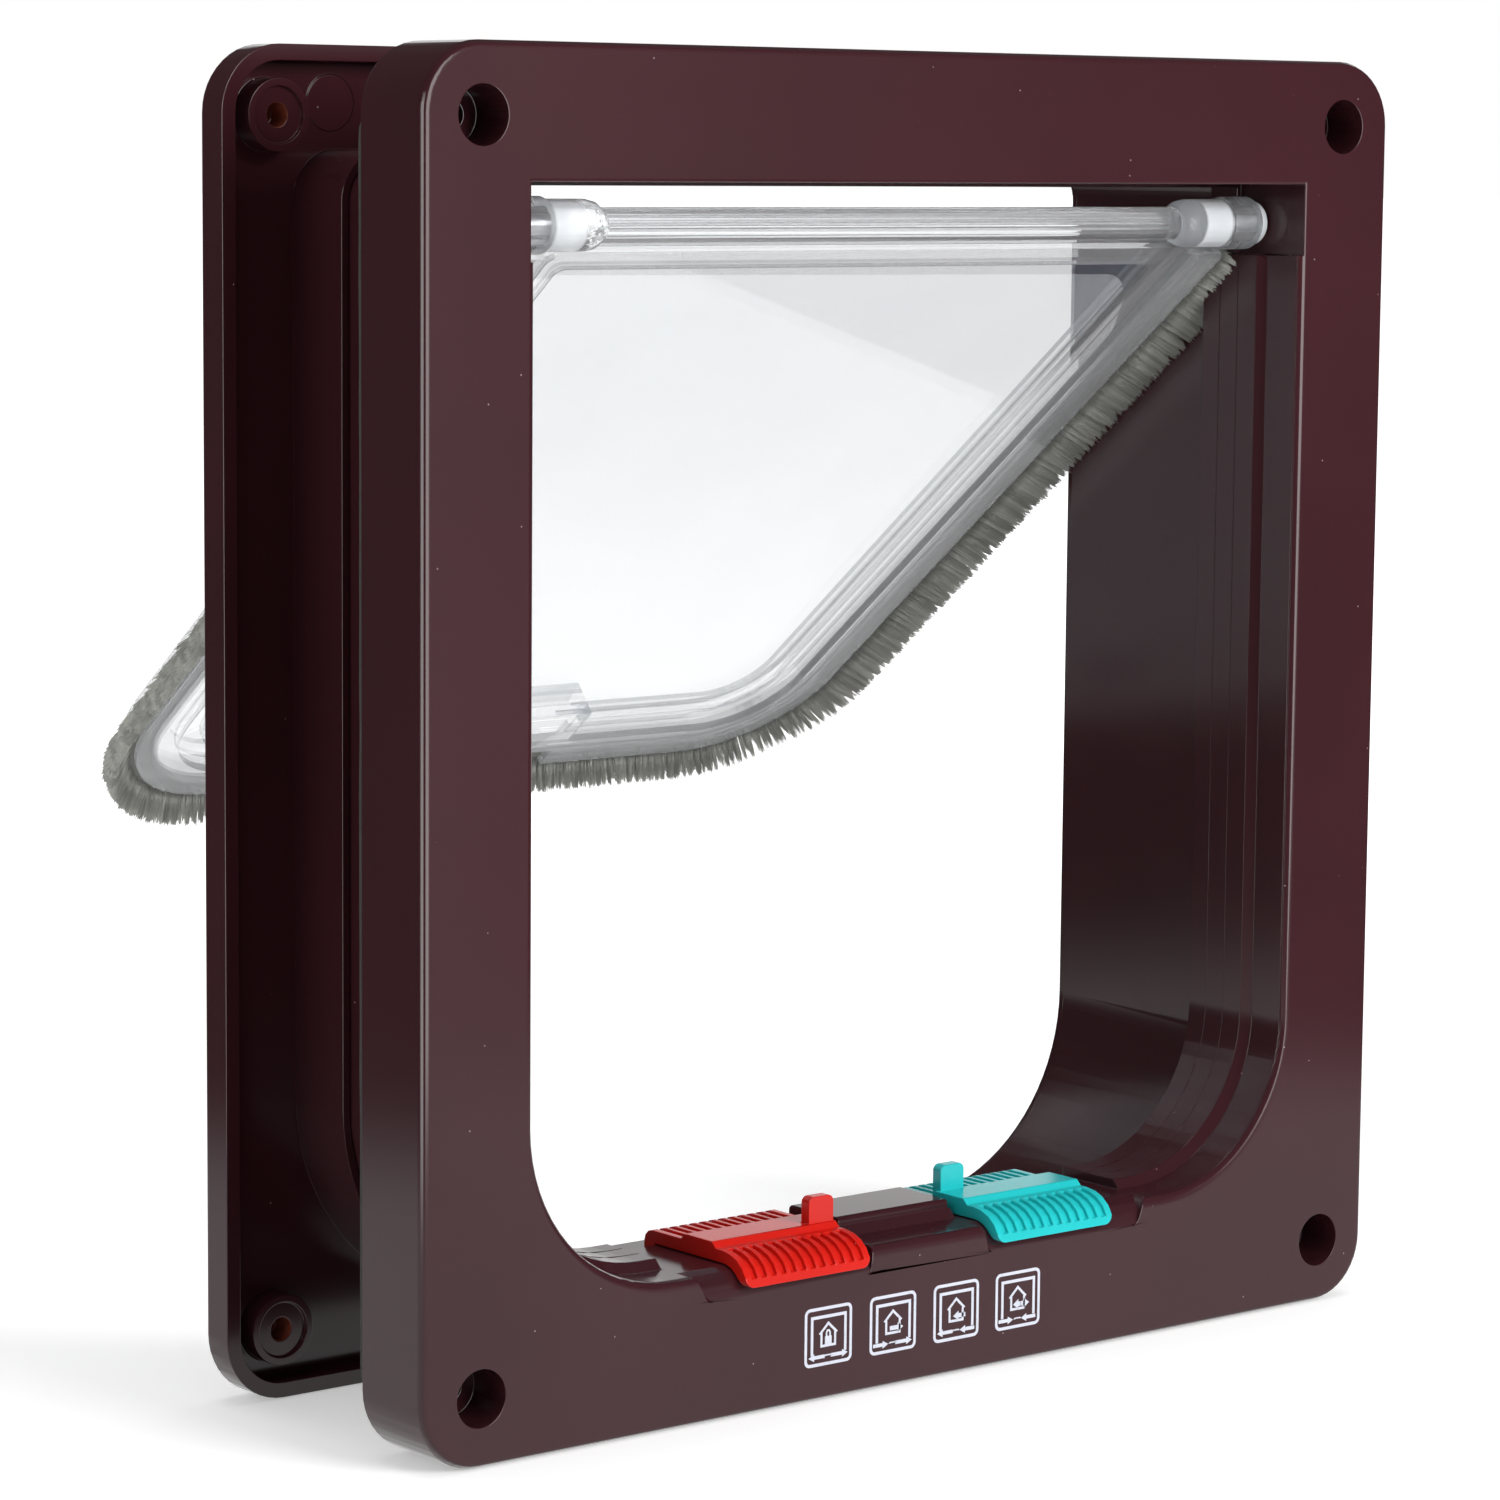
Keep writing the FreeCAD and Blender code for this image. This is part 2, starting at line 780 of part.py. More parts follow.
def grip_curve(inset):
    """(y, z) points of the grip's front, a quarter round that falls from the shelf in front of the face."""
    run = grip_start + grip_reach
    fall = slider_shelf - grip_bottom
    points = []
    for run_share, fall_share in quarter_round(1.0, 1.0, grip_steps):
        y = face_y + grip_start - (run - inset) * run_share
        z = slider_shelf - inset - (fall - inset) * fall_share
        points.append((y, z))
    return points


def slider_profile():
    """Side view of a slider: grip before the face, flat plateau, and a rear lip that hooks the sill."""
    floor = throat.bottom + slider_clearance
    y_lip = face_y + band_end + rear_lip_gap
    y_rear = face_y + rear_lip_end
    front = grip_curve(0)
    inner = grip_curve(grip_thickness)
    plateau = [
        (face_y + plateau_start - shelf_ramp, slider_shelf),
        (face_y + plateau_start, slider_top),
        (face_y + plateau_end, slider_top),
        (face_y + plateau_end + shelf_ramp, slider_shelf),
    ]
    lip = quarter_round(rear_lip_radius, rear_lip_radius, lip_steps)
    rear = [(y_rear - rear_lip_radius + inset, slider_shelf - depth) for inset, depth in lip]
    hook = [
        (y_rear, rear_lip_bottom),
        (y_lip - rear_hook, rear_lip_bottom),
        (y_lip - rear_hook, throat.bottom - sill_wall - slider_clearance),
        (y_lip, throat.bottom - sill_wall - slider_clearance),
        (y_lip, floor),
    ]
    lower = [(y, z) for y, z in inner if z < floor]
    under = [(lower[0][0] + grip_thickness / 2, floor)]
    return front[::-1] + plateau + rear + hook + under + lower


def groove_spans():
    """Where the grooves between the finger ribs lie along the slider, as (x0, x1) pairs."""
    pitch = (slider_width - 2 * groove_margin) / groove_count
    half = pitch * groove_share / 2
    first = slider_inner + groove_margin + pitch / 2
    return [(first + pitch * index - half, first + pitch * index + half) for index in range(groove_count)]


def front_groove(x0, x1):
    """One groove of the grip, as deep all the way down its curve, which leaves an edge at its foot."""
    floor = [(y, z) for y, z in grip_curve(groove_depth) if z > grip_bottom + grip_edge]
    last_y, last_z = floor[-1]
    in_front = face_y - grip_reach - 1
    above = slider_shelf + 1
    points = floor + [(in_front, last_z), (in_front, above), (floor[0][0], above)]
    return profile_along_x(points, x0, x1)


def grip_corner(end, inward):
    """What the rounding takes off a lower corner of the grip, at x = end; inward is 1 or -1."""
    x = end + inward * grip_corner_radius
    z = grip_bottom + grip_corner_radius
    y0 = face_y - grip_reach - 1
    y1 = face_y + grip_start
    outside = end - inward
    corner = box(min(outside, x), max(outside, x), y0, y1, grip_bottom - 1, z)
    return corner.cut(rod_y(x, z, grip_corner_radius, y0 - 1, y1 + 1))


def rear_groove(x0, x1):
    y0 = face_y + plateau_end + shelf_ramp + groove_margin
    y1 = face_y + rear_lip_end
    floor_z = slider_shelf - groove_depth
    lip = quarter_round(rear_lip_radius, rear_lip_radius, lip_steps)
    curve = [(y1 - rear_lip_radius - groove_depth + inset, floor_z - depth) for inset, depth in lip]
    above = slider_shelf + 1
    points = [(y0, above), (y0, floor_z)] + curve + [(y1 + 1, curve[-1][1]), (y1 + 1, above)]
    return profile_along_x(points, x0, x1)


def tab(tab_depth):
    """Upright stop on the plateau, with rounded top corners."""
    y0 = face_y + tab_depth
    top = slider_top + tab_height
    body = box(tab_inner, tab_inner + tab_width, y0, y0 + tab_thickness, slider_shelf - 1, top)
    corners = edges_where(body, lambda b: b.ZMin > slider_top and near(b.YLength, tab_thickness))
    return body.makeFillet(tab_corner_radius, corners)


def slider(side, tab_depth):
    body = profile_along_x(slider_profile(), slider_inner, slider_inner + slider_width)
    cuts = [grip_corner(slider_inner, 1), grip_corner(slider_inner + slider_width, -1)]
    for x0, x1 in groove_spans():
        cuts.append(front_groove(x0, x1))
        cuts.append(rear_groove(x0, x1))
    body = body.cut(cuts).fuse(tab(tab_depth)).removeSplitter()
    return body if side > 0 else mirrored(body)


def flap_magnet():
    return swung(flap_magnet_body(0, 0))


def sill_magnet():
    bottom = block_top - sill_magnet_cover - magnet_thickness
    return sill_magnet_body(0, bottom)


parts = {
    "front_frame": front_frame(),
    "rear_frame": rear_frame(),
    "flap_panel": flap_panel(),
    "hinge_pin_left": hinge_pin(-1),
    "hinge_pin_right": hinge_pin(1),
    "brush_strip_left": brush_strip(-1),
    "brush_strip_right": brush_strip(1),
    "flap_magnet": flap_magnet(),
    "sill_magnet": sill_magnet(),
    "red_lock_slider": slider(-1, red_tab_depth),
    "teal_lock_slider": slider(1, teal_tab_depth),
}
parts.update(foam_strips())

os.makedirs("parts", exist_ok=True)
for name, shape in parts.items():
    solid = shape.Solids[0] if len(shape.Solids) == 1 else shape
    print(name, len(shape.Solids), "solid", round(shape.Volume / 1000, 2), "cm3", "valid", shape.isValid())
    solid.exportStep("parts/" + name + ".step")
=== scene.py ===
"""Looks of a locking cat flap: two plastic frames, a clear flap with a bristle edge, and lock sliders."""

import logging
import math
from dataclasses import dataclass, field
from enum import Enum
from typing import Any, Iterable, Sequence

import bmesh
import bpy
import numpy as np
from mathutils import Matrix, Vector


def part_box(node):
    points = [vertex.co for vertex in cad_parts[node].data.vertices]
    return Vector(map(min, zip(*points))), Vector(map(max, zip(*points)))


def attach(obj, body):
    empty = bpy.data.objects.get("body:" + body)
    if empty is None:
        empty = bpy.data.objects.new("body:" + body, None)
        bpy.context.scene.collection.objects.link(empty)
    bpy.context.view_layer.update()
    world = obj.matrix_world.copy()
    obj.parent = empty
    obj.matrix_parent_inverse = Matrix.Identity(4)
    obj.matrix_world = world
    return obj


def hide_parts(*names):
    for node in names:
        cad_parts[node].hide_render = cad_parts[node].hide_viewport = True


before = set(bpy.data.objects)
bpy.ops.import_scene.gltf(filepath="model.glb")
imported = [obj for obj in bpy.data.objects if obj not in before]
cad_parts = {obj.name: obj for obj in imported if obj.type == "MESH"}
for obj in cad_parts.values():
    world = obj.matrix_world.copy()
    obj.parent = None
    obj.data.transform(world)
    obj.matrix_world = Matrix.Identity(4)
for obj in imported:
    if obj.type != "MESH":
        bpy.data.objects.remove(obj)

LOG = logging.getLogger("cat_flap")
MM = 0.001

# Limits for the copies of the CAD's meshes; the bare ones are cosines between faces' normals
MERGE_DISTANCE = 0.002 * MM
SHARP_EDGE = math.radians(35)
CREASE = math.radians(40)
ONE_PLANE = 0.99999
NEARLY_ONE_PLANE = 0.9996
FOLDED_BACK = -0.98
SLIVER_WIDTH = 0.03 * MM
SHORT_EDGE = 0.6 * MM
LARGE_FLAT = 50 * MM * MM
NEARLY_SQUARE = 0.999
FULLY_SQUARE = 0.9999999
OFF_PLANE = 0.3 * MM

# Shared proportions of the scratches
HAIR_BEND = 14.0
HAIR_WIDTH = 0.055

Colour = tuple[float, float, float]
Point = tuple[float, float]


# Shader sockets in Python arithmetic


class Value:
    """One shader output that takes part in Python arithmetic."""

    def __init__(self, desk: "ShaderDesk", socket: bpy.types.NodeSocket) -> None:
        """Keeps the socket and the desk that makes nodes beside it."""
        self.desk = desk
        self.socket = socket

    def _maths(self, operation: str, first: Any, second: Any) -> "Value":
        """Adds one Math node for an operation on two operands."""
        return self.desk.node("ShaderNodeMath", {"operation": operation}, {0: first, 1: second})

    def __add__(self, other: Any) -> "Value":
        """Sum with a value or a number."""
        return self._maths("ADD", self, other)

    def __radd__(self, other: Any) -> "Value":
        """Sum with a number on the left."""
        return self._maths("ADD", other, self)

    def __sub__(self, other: Any) -> "Value":
        """Difference with a value or a number."""
        return self._maths("SUBTRACT", self, other)

    def __rsub__(self, other: Any) -> "Value":
        """Difference with a number on the left."""
        return self._maths("SUBTRACT", other, self)

    def __mul__(self, other: Any) -> "Value":
        """Product with a value or a number."""
        return self._maths("MULTIPLY", self, other)

    def __rmul__(self, other: Any) -> "Value":
        """Product with a number on the left."""
        return self._maths("MULTIPLY", other, self)

    def __lt__(self, other: Any) -> "Value":
        """One where this is under the other, and zero elsewhere."""
        return self._maths("LESS_THAN", self, other)

    def __gt__(self, other: Any) -> "Value":
        """One where this is over the other, and zero elsewhere."""
        return self._maths("GREATER_THAN", self, other)

    def __abs__(self) -> "Value":
        """Distance from zero."""
        return self._maths("ABSOLUTE", self, 0.0)


class ShaderDesk:
    """Makes the nodes of one material or world."""

    def __init__(self, tree: bpy.types.NodeTree) -> None:
        """Takes an empty node tree."""
        self.tree = tree
        tree.nodes.clear()

    def node(self, kind: str, settings: dict[str, Any], inputs: dict[Any, Any], output: Any = 0) -> Value:
        """Adds any node.

        Args:
            kind: The node's type.
            settings: Properties that are set first.
            inputs: A value or a link for each input, by its name or number.
            output: The name or number of the output that is returned.

        Returns:
            The output as a value.
        """
        made = self.tree.nodes.new(kind)
        for name, setting in settings.items():
            setattr(made, name, setting)
        for key, given in inputs.items():
            if isinstance(given, Value):
                self.tree.links.new(given.socket, made.inputs[key])
            else:
                made.inputs[key].default_value = given
        return Value(self, made.outputs[output] if made.outputs else None)

    def other(self, value: Value, output: Any) -> Value:
        """Another output of the node that a value comes from."""
        return Value(self, value.socket.node.outputs[output])

    def place(self) -> Value:
        """Object coordinates, in metres."""
        return self.node("ShaderNodeTexCoord", {}, {}, "Object")

    def axes(self, vector: Value) -> tuple[Value, Value, Value]:
        """The three parts of a vector."""
        x = self.node("ShaderNodeSeparateXYZ", {}, {0: vector})
        return x, self.other(x, 1), self.other(x, 2)

    def stretched(self, vector: Value, scale: Colour, turn: Colour = (0.0, 0.0, 0.0)) -> Value:
        """A vector that is turned and scaled by a Mapping node."""
        return self.node("ShaderNodeMapping", {}, {0: vector, "Rotation": turn, "Scale": scale})

    def noise(self, vector: Value, scale: float, detail: float = 2.0, roughness: float = 0.5) -> Value:
        """Cloudy noise from 0 to 1."""
        inputs = {"Vector": vector, "Scale": scale, "Detail": detail, "Roughness": roughness}
        return self.node("ShaderNodeTexNoise", {}, inputs)

    def ramp(self, value: Any, low: float, high: float, to_low: float = 0.0, to_high: float = 1.0) -> Value:
        """A smooth step from to_low to to_high as the value goes from low to high."""
        inputs = {0: value, 1: low, 2: high, 3: to_low, 4: to_high}
        return self.node("ShaderNodeMapRange", {"interpolation_type": "SMOOTHSTEP"}, inputs)

    def blend(self, share: Any, first: Any, second: Any) -> Value:
        """A colour between two others, each a value or plain numbers."""
        ends = [end if isinstance(end, Value) else (*end, 1.0) for end in (first, second)]
        return self.node("ShaderNodeMix", {"data_type": "RGBA"}, {0: share, 6: ends[0], 7: ends[1]}, 2)

    def bump(self, height: Value, strength: float, distance: float) -> Value:
        """A normal that follows a height."""
        return self.node("ShaderNodeBump", {}, {"Strength": strength, "Distance": distance, "Height": height})

    def specks(self, vector: Value, pitch: float, radius: float, share: float) -> Value:
        """Small round spots in a share of random cells.

        Args:
            vector: Coordinates in metres.
            pitch: Size of a cell in metres.
            radius: Radius of a spot in metres.
            share: Part of the cells that has a spot.

        Returns:
            One inside a spot and zero elsewhere.
        """
        cells = self.node("ShaderNodeTexVoronoi", {}, {"Vector": vector, "Scale": 1 / pitch}, "Distance")
        chosen = self.axes(self.other(cells, "Color"))[0] < share
        return (cells < radius / pitch) * chosen

    def hairlines(self, vector: Value, length: float, pitch: float, turn: Colour, share: float) -> Value:
        """Fine straight scratches in one direction.

        Args:
            vector: Coordinates in metres.
            length: Rough length of a scratch in metres.
            pitch: Distance between scratches in metres.
            turn: Rotation of their direction in radians.
            share: Part of the cells that has a scratch.

        Returns:
            One on a scratch and zero elsewhere.
        """
        cloud = self.node("ShaderNodeTexNoise", {}, {"Vector": vector, "Scale": HAIR_BEND}, "Color")
        bent = self.node("ShaderNodeVectorMath", {"operation": "ADD"}, {0: vector, 1: cloud})
        drawn = self.stretched(bent, (1 / length, 1 / pitch, 1 / length), turn)
        cells = self.node("ShaderNodeTexVoronoi", {}, {"Vector": drawn, "Scale": 1.0}, "Distance")
        chosen = self.axes(self.other(cells, "Color"))[1] < share
        return (cells < HAIR_WIDTH) * chosen

    def principled(self, inputs: dict[str, Any]) -> Value:
        """A Principled shader."""
        return self.node("ShaderNodeBsdfPrincipled", {}, inputs)

    def emission(self, strength: Any) -> Value:
        """White light of a given strength."""
        white = (1.0, 1.0, 1.0, 1.0)
        return self.node("ShaderNodeEmission", {}, {"Color": white, "Strength": strength})

    def output(self, shader: Value, kind: str = "ShaderNodeOutputMaterial") -> None:
        """Ends the tree with a surface."""
        self.node(kind, {}, {"Surface": shader})


# Finishes


def new_material(name: str) -> tuple[bpy.types.Material, ShaderDesk]:
    """Makes a material with an empty tree.

    Args:
        name: The material's name.

    Returns:
        The material, and the desk that fills its tree.
    """
    material = bpy.data.materials.new(name)
    material.use_nodes = True
    return material, ShaderDesk(material.node_tree)


@dataclass(frozen=True)
class MouldedPlastic:
    """Glossy moulded plastic with faint flow marks, dust and hair scratches."""

    name: str
    colour: Colour
    roughness: float = 0.13
    dust: float = 0.3
    dust_colour: Colour = (0.35, 0.29, 0.29)
    scratch_share: float = 0.1
    # Painted light: where the daylight through thin blind-hole floors is painted, and in what colour
    glow_at: tuple[float, float, float, float] | None = None
    glow_colour: Colour = (0.19, 0.045, 0.025)
    deep_share: float = 0.86
    dust_pitch: float = 3.6 * MM
    dust_radius: float = 0.14 * MM
    scratch_length: float = 18 * MM
    scratch_pitch: float = 1.6 * MM
    scratch_turn: Colour = (0.3, 0.5, 0.8)

    def make(self) -> bpy.types.Material:
        """Builds the material.

        Returns:
            The new material.
        """
        material, desk = new_material(self.name)
        place = desk.place()
        deep = tuple(self.deep_share * part for part in self.colour)
        flow = desk.ramp(desk.noise(place, 16.0, 3.0), 0.3, 0.7)
        colour = desk.blend(flow, self.colour, deep)
        dust = desk.specks(place, self.dust_pitch, self.dust_radius, self.dust)
        scratch = desk.hairlines(
            place, self.scratch_length, self.scratch_pitch, self.scratch_turn, self.scratch_share
        )
        scratch = scratch * desk.ramp(desk.noise(place, 60.0), 0.5, 0.62)
        colour = desk.blend(dust, colour, self.dust_colour)
        colour = desk.blend(scratch * 0.25, colour, self.dust_colour)
        if self.glow_at:
            colour = self._glow(desk, place, colour)
        rough = self.roughness + desk.noise(place, 35.0, 2.0) * 0.05 + dust * 0.4 + scratch * 0.2
        height = desk.noise(place, 420.0, 1.0) + dust * 3.0
        inputs = {
            "Base Color": colour,
            "Roughness": rough,
            "IOR": 1.5,
            "Normal": desk.bump(height, 0.05, 0.02 * MM),
        }
        desk.output(desk.principled(inputs))
        return material

    def _glow(self, desk: ShaderDesk, place: Value, colour: Value) -> Value:
        """Paints light into the thin floors of blind holes, as a tint for the daylight that comes through
        them from behind.

        Args:
            desk: The material's desk.
            place: Object coordinates.
            colour: The colour elsewhere.

        Returns:
            The colour with the holes tinted.
        """
        hole_x, hole_z, radius, depth = self.glow_at
        x, y, z = desk.axes(place)
        from_x = abs(x) - hole_x
        from_z = abs(z) - hole_z
        inside = ((from_x * from_x + from_z * from_z) < radius * radius) * (y < depth)
        return desk.blend(inside, colour, self.glow_colour)


@dataclass(frozen=True)
class ClearPlastic:
    """Clear moulded plastic, partly see-through at once and partly by refraction."""

    name: str
    alpha: float
    tint: Colour = (0.972, 0.984, 0.996)
    haze: float = 0.08
    milk: Colour = (0.2, 0.31, 0.43)
    scratch_share: float = 0.12
    mark_colour: Colour = (0.55, 0.57, 0.6)
    frost: Colour = (0.8, 0.83, 0.86)
    frosted: tuple[tuple[float, float], ...] = ()
    frost_fade: float = 0.5 * MM
    frost_share: float = 0.6
    scratch_length: float = 9 * MM
    scratch_pitch: float = 2.4 * MM
    scratch_turn: Colour = (0.9, 0.2, 1.1)
    nick_pitch: float = 7 * MM
    nick_radius: float = 0.16 * MM
    nick_share: float = 0.3

    def make(self) -> bpy.types.Material:
        """Builds the material: clear with a thin haze, and frosted at given distances from the middle.

        Returns:
            The new material.
        """
        material, desk = new_material(self.name)
        place = desk.place()
        scratch = desk.hairlines(
            place, self.scratch_length, self.scratch_pitch, self.scratch_turn, self.scratch_share
        )
        scratch = scratch * desk.ramp(desk.noise(place, 55.0), 0.52, 0.6)
        nick = desk.specks(place, self.nick_pitch, self.nick_radius, self.nick_share)
        marks = scratch * 0.55 + nick * 0.6
        inputs = {
            "Base Color": desk.blend(marks, self.tint, self.mark_colour),
            "Roughness": 0.02 + marks * 0.3,
            "IOR": 1.49,
            "Transmission Weight": 1.0,
            "Alpha": self.alpha + marks * 0.2,
        }
        clear = desk.principled(inputs)
        milky = desk.principled({"Base Color": self._milk(desk, place), "Roughness": 0.35})
        share = self.haze + desk.noise(place, 40.0) * 0.03 + self._zone(desk, place) * self.frost_share
        desk.output(desk.node("ShaderNodeMixShader", {}, {0: share, 1: clear, 2: milky}))
        return material

    def _zone(self, desk: ShaderDesk, place: Value) -> Value:
        """Marks the frosted zones.

        Args:
            desk: The material's desk.
            place: Object coordinates.

        Returns:
            One in the frosted zones and zero elsewhere.
        """
        across = abs(desk.axes(place)[0])
        zone = across * 0.0
        for near, far in self.frosted:
            inside = desk.ramp(across, near - self.frost_fade, near + self.frost_fade)
            zone = zone + inside * desk.ramp(across, far - self.frost_fade, far + self.frost_fade, 1.0, 0.0)
        return zone

    def _milk(self, desk: ShaderDesk, place: Value) -> Value:
        """The haze's colour, and white where the plastic is frosted."""
        return desk.blend(self._zone(desk, place), self.milk, self.frost)


@dataclass(frozen=True)
class BristlePile:
    """Grey nylon bristles with painted shade toward the root, painted light toward the tip, and a faint
    painted glow for the light that passes through them.
    """

    name: str
    # Painted shade at the root and painted light at the tip, blended along each bristle
    root: Colour = (0.22, 0.223, 0.208)
    tip: Colour = (0.93, 0.94, 0.87)
    glow: float = 0.08
    tuft_shade: float = 0.7

    def make(self) -> bpy.types.Material:
        """Builds the material, which reads the pile's own attributes.

        Returns:
            The new material.
        """
        material, desk = new_material(self.name)
        along = desk.node("ShaderNodeAttribute", {"attribute_name": "along"}, {}, "Fac")
        tuft = desk.node("ShaderNodeAttribute", {"attribute_name": "tuft"}, {}, "Fac")
        # Painted shade toward the root and painted light toward the tip
        colour = desk.blend(along, self.root, self.tip)
        colour = desk.blend(tuft * self.tuft_shade, colour, self.root)
        inputs = {
            "Base Color": colour,
            "Roughness": 0.7,
            "Specular IOR Level": 0.2,
            # Painted light: the emission stands in for light that passes through the pile
            "Emission Color": colour,
            "Emission Strength": self.glow,
        }
        desk.output(desk.principled(inputs))
        return material


@dataclass(frozen=True)
class CellFoam:
    """Dark closed-cell foam."""

    name: str
    colour: Colour = (0.045, 0.042, 0.041)

    def make(self) -> bpy.types.Material:
        """Builds the material.

        Returns:
            The new material.
        """
        material, desk = new_material(self.name)
        place = desk.place()
        cells = desk.node("ShaderNodeTexVoronoi", {}, {"Vector": place, "Scale": 1700.0}, "Distance")
        cloud = desk.noise(place, 300.0, 3.0)
        pale = tuple(1.9 * part for part in self.colour)
        inputs = {
            "Base Color": desk.blend(cells * cloud * 1.2, self.colour, pale),
            "Roughness": 0.85 + cells * 0.1,
            "Normal": desk.bump(cells + cloud, 0.5, 0.15 * MM),
        }
        desk.output(desk.principled(inputs))
        return material


@dataclass(frozen=True)
class PadPrint:
    """Off-white ink, slightly thin in places."""

    name: str
    colour: Colour = (0.72, 0.74, 0.84)

    def make(self) -> bpy.types.Material:
        """Builds the material.

        Returns:
            The new material.
        """
        material, desk = new_material(self.name)
        place = desk.place()
        thin = desk.ramp(desk.noise(place, 2600.0, 2.0), 0.62, 0.75)
        dull = tuple(0.72 * part for part in self.colour)
        inputs = {
            "Base Color": desk.blend(thin, self.colour, dull),
            "Roughness": 0.45 + thin * 0.15,
            "Normal": desk.bump(thin, 0.2, 0.02 * MM),
        }
        desk.output(desk.principled(inputs))
        return material


@dataclass(frozen=True)
class PlainMetal:
    """Drawn steel of the pins and magnets, with marks along X."""

    name: str
    colour: Colour
    roughness: float

    def make(self) -> bpy.types.Material:
        """Builds the material.

        Returns:
            The new material.
        """
        material, desk = new_material(self.name)
        place = desk.place()
        drawn = desk.noise(desk.stretched(place, (60.0, 4000.0, 4000.0)), 1.0, 2.0)
        dark = tuple(0.7 * part for part in self.colour)
        inputs = {
            "Base Color": desk.blend(drawn, self.colour, dark),
            "Metallic": 1.0,
            "Roughness": self.roughness + drawn * 0.15,
            "Normal": desk.bump(drawn, 0.15, 0.02 * MM),
        }
        desk.output(desk.principled(inputs))
        return material


# Mesh helpers


def finished(
    name: str, shape: bmesh.types.BMesh, materials: Sequence[bpy.types.Material], body: str
) -> bpy.types.Object:
    """Turns a bmesh into a piece that rides on a body.

    Args:
        name: The piece's name.
        shape: Its mesh, which is freed.
        materials: Its materials, in the order of its faces' numbers.
        body: The CAD body that carries it.

    Returns:
        The new object.
    """
    mesh = bpy.data.meshes.new(name)
    shape.to_mesh(mesh)
    shape.free()
    for material in materials:
        mesh.materials.append(material)
    piece = bpy.data.objects.new(name, mesh)
    bpy.context.scene.collection.objects.link(piece)
    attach(piece, body)
    LOG.info("%s: %d faces on %s", name, len(mesh.polygons), body)
    return piece


def softened_copy(node: str, width: float, segments: int = 2) -> bmesh.types.BMesh:
    """A merged copy of a CAD node's mesh with its sharp edges rounded.

    Args:
        node: The CAD node's name.
        width: Width of the rounding in metres.
        segments: Facets across it.

    Returns:
        The new mesh.
    """
    shape = bmesh.new()
    shape.from_mesh(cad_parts[node].data)
    bmesh.ops.remove_doubles(shape, verts=shape.verts, dist=MERGE_DISTANCE)
    sharp = [
        edge
        for edge in shape.edges
        if len(edge.link_faces) == 2 and edge.calc_face_angle(0.0) > SHARP_EDGE
    ]
    bmesh.ops.bevel(
        shape,
        geom=sharp,
        offset=width,
        offset_type="OFFSET",
        segments=segments,
        profile=0.5,
        affect="EDGES",
        clamp_overlap=False,
        loop_slide=False,
        material=-1,
    )
    level_flats(shape)
    close_folds(shape)
    for face in shape.faces:
        face.smooth = True
    return shape


def level_flats(shape: bmesh.types.BMesh) -> None:
    """Puts corners that the bevel pulled off a large flat face back into its plane.

    Only faces that lie nearly square to an axis are changed.

    Args:
        shape: The bevelled mesh.
    """
    for face in shape.faces:
        axis = max(range(3), key=lambda index: abs(face.normal[index]))
        tilted = NEARLY_SQUARE < abs(face.normal[axis]) < FULLY_SQUARE
        if face.calc_area() < LARGE_FLAT or not tilted:
            continue
        places = sorted(vertex.co[axis] for vertex in face.verts)
        plane = places[0] if face.normal[axis] < 0 else places[-1]
        if places[-1] - places[0] < OFF_PLANE:
            for vertex in face.verts:
                vertex.co[axis] = plane


def close_folds(shape: bmesh.types.BMesh) -> None:
    """Closes thin faces that the bevel folded back over the faces beside them.

    Args:
        shape: The bevelled mesh.
    """
    shape.normal_update()
    shortest = set()
    for face in shape.faces:
        pairs = [edge.link_faces for edge in face.edges if len(edge.link_faces) == 2]
        folds = sum(first.normal.dot(second.normal) < FOLDED_BACK for first, second in pairs)
        short = min(face.edges, key=lambda edge: edge.calc_length())
        if folds > 1 and short.calc_length() < SHORT_EDGE:
            shortest.add(short)
    bmesh.ops.collapse(shape, edges=list(shortest))


def flat_groups(shape: bmesh.types.BMesh) -> list[int]:
    """Numbers the faces, with one number for those that join and lie in one plane.

    Args:
        shape: The mesh.

    Returns:
        A number for each face, in the faces' order.
    """
    shape.faces.index_update()
    numbers = [-1] * len(shape.faces)
    for count, start in enumerate(shape.faces):
        waiting = [start] if numbers[start.index] < 0 else []
        while waiting:
            face = waiting.pop()
            numbers[face.index] = count
            for edge in face.edges:
                waiting += [
                    other
                    for other in edge.link_faces
                    if numbers[other.index] < 0 and other.normal.dot(face.normal) > ONE_PLANE
                ]
    return numbers


def even_shading(mesh: bpy.types.Mesh) -> None:
    """Sets corner normals so that flat areas shade flat and the roundings between them blend in.

    Args:
        mesh: The piece's mesh.
    """
    shape = bmesh.new()
    shape.from_mesh(mesh)
    shape.normal_update()
    numbers = flat_groups(shape)
    areas: dict[int, float] = {}
    for face in shape.faces:
        areas[numbers[face.index]] = areas.get(numbers[face.index], 0.0) + face.calc_area()
    limit = math.cos(CREASE)
    normals = []
    for face in shape.faces:
        longest = max(edge.calc_length() for edge in face.edges)
        sliver = 2 * face.calc_area() / longest < SLIVER_WIDTH
        for loop in face.loops:
            largest = max(loop.vert.link_faces, key=lambda other: areas[numbers[other.index]])
            if largest.normal.dot(face.normal) > NEARLY_ONE_PLANE:
                normals.append(largest.normal.copy())
                continue
            own = largest.normal if sliver else face.normal
            beside = {
                numbers[other.index]: other.normal
                for other in loop.vert.link_faces
                if other.normal.dot(own) > limit
            }
            total = sum((normal * areas[number] for number, normal in beside.items()), Vector())
            normals.append(total.normalized() if total.length else face.normal.copy())
    shape.free()
    mesh.normals_split_custom_set(normals)


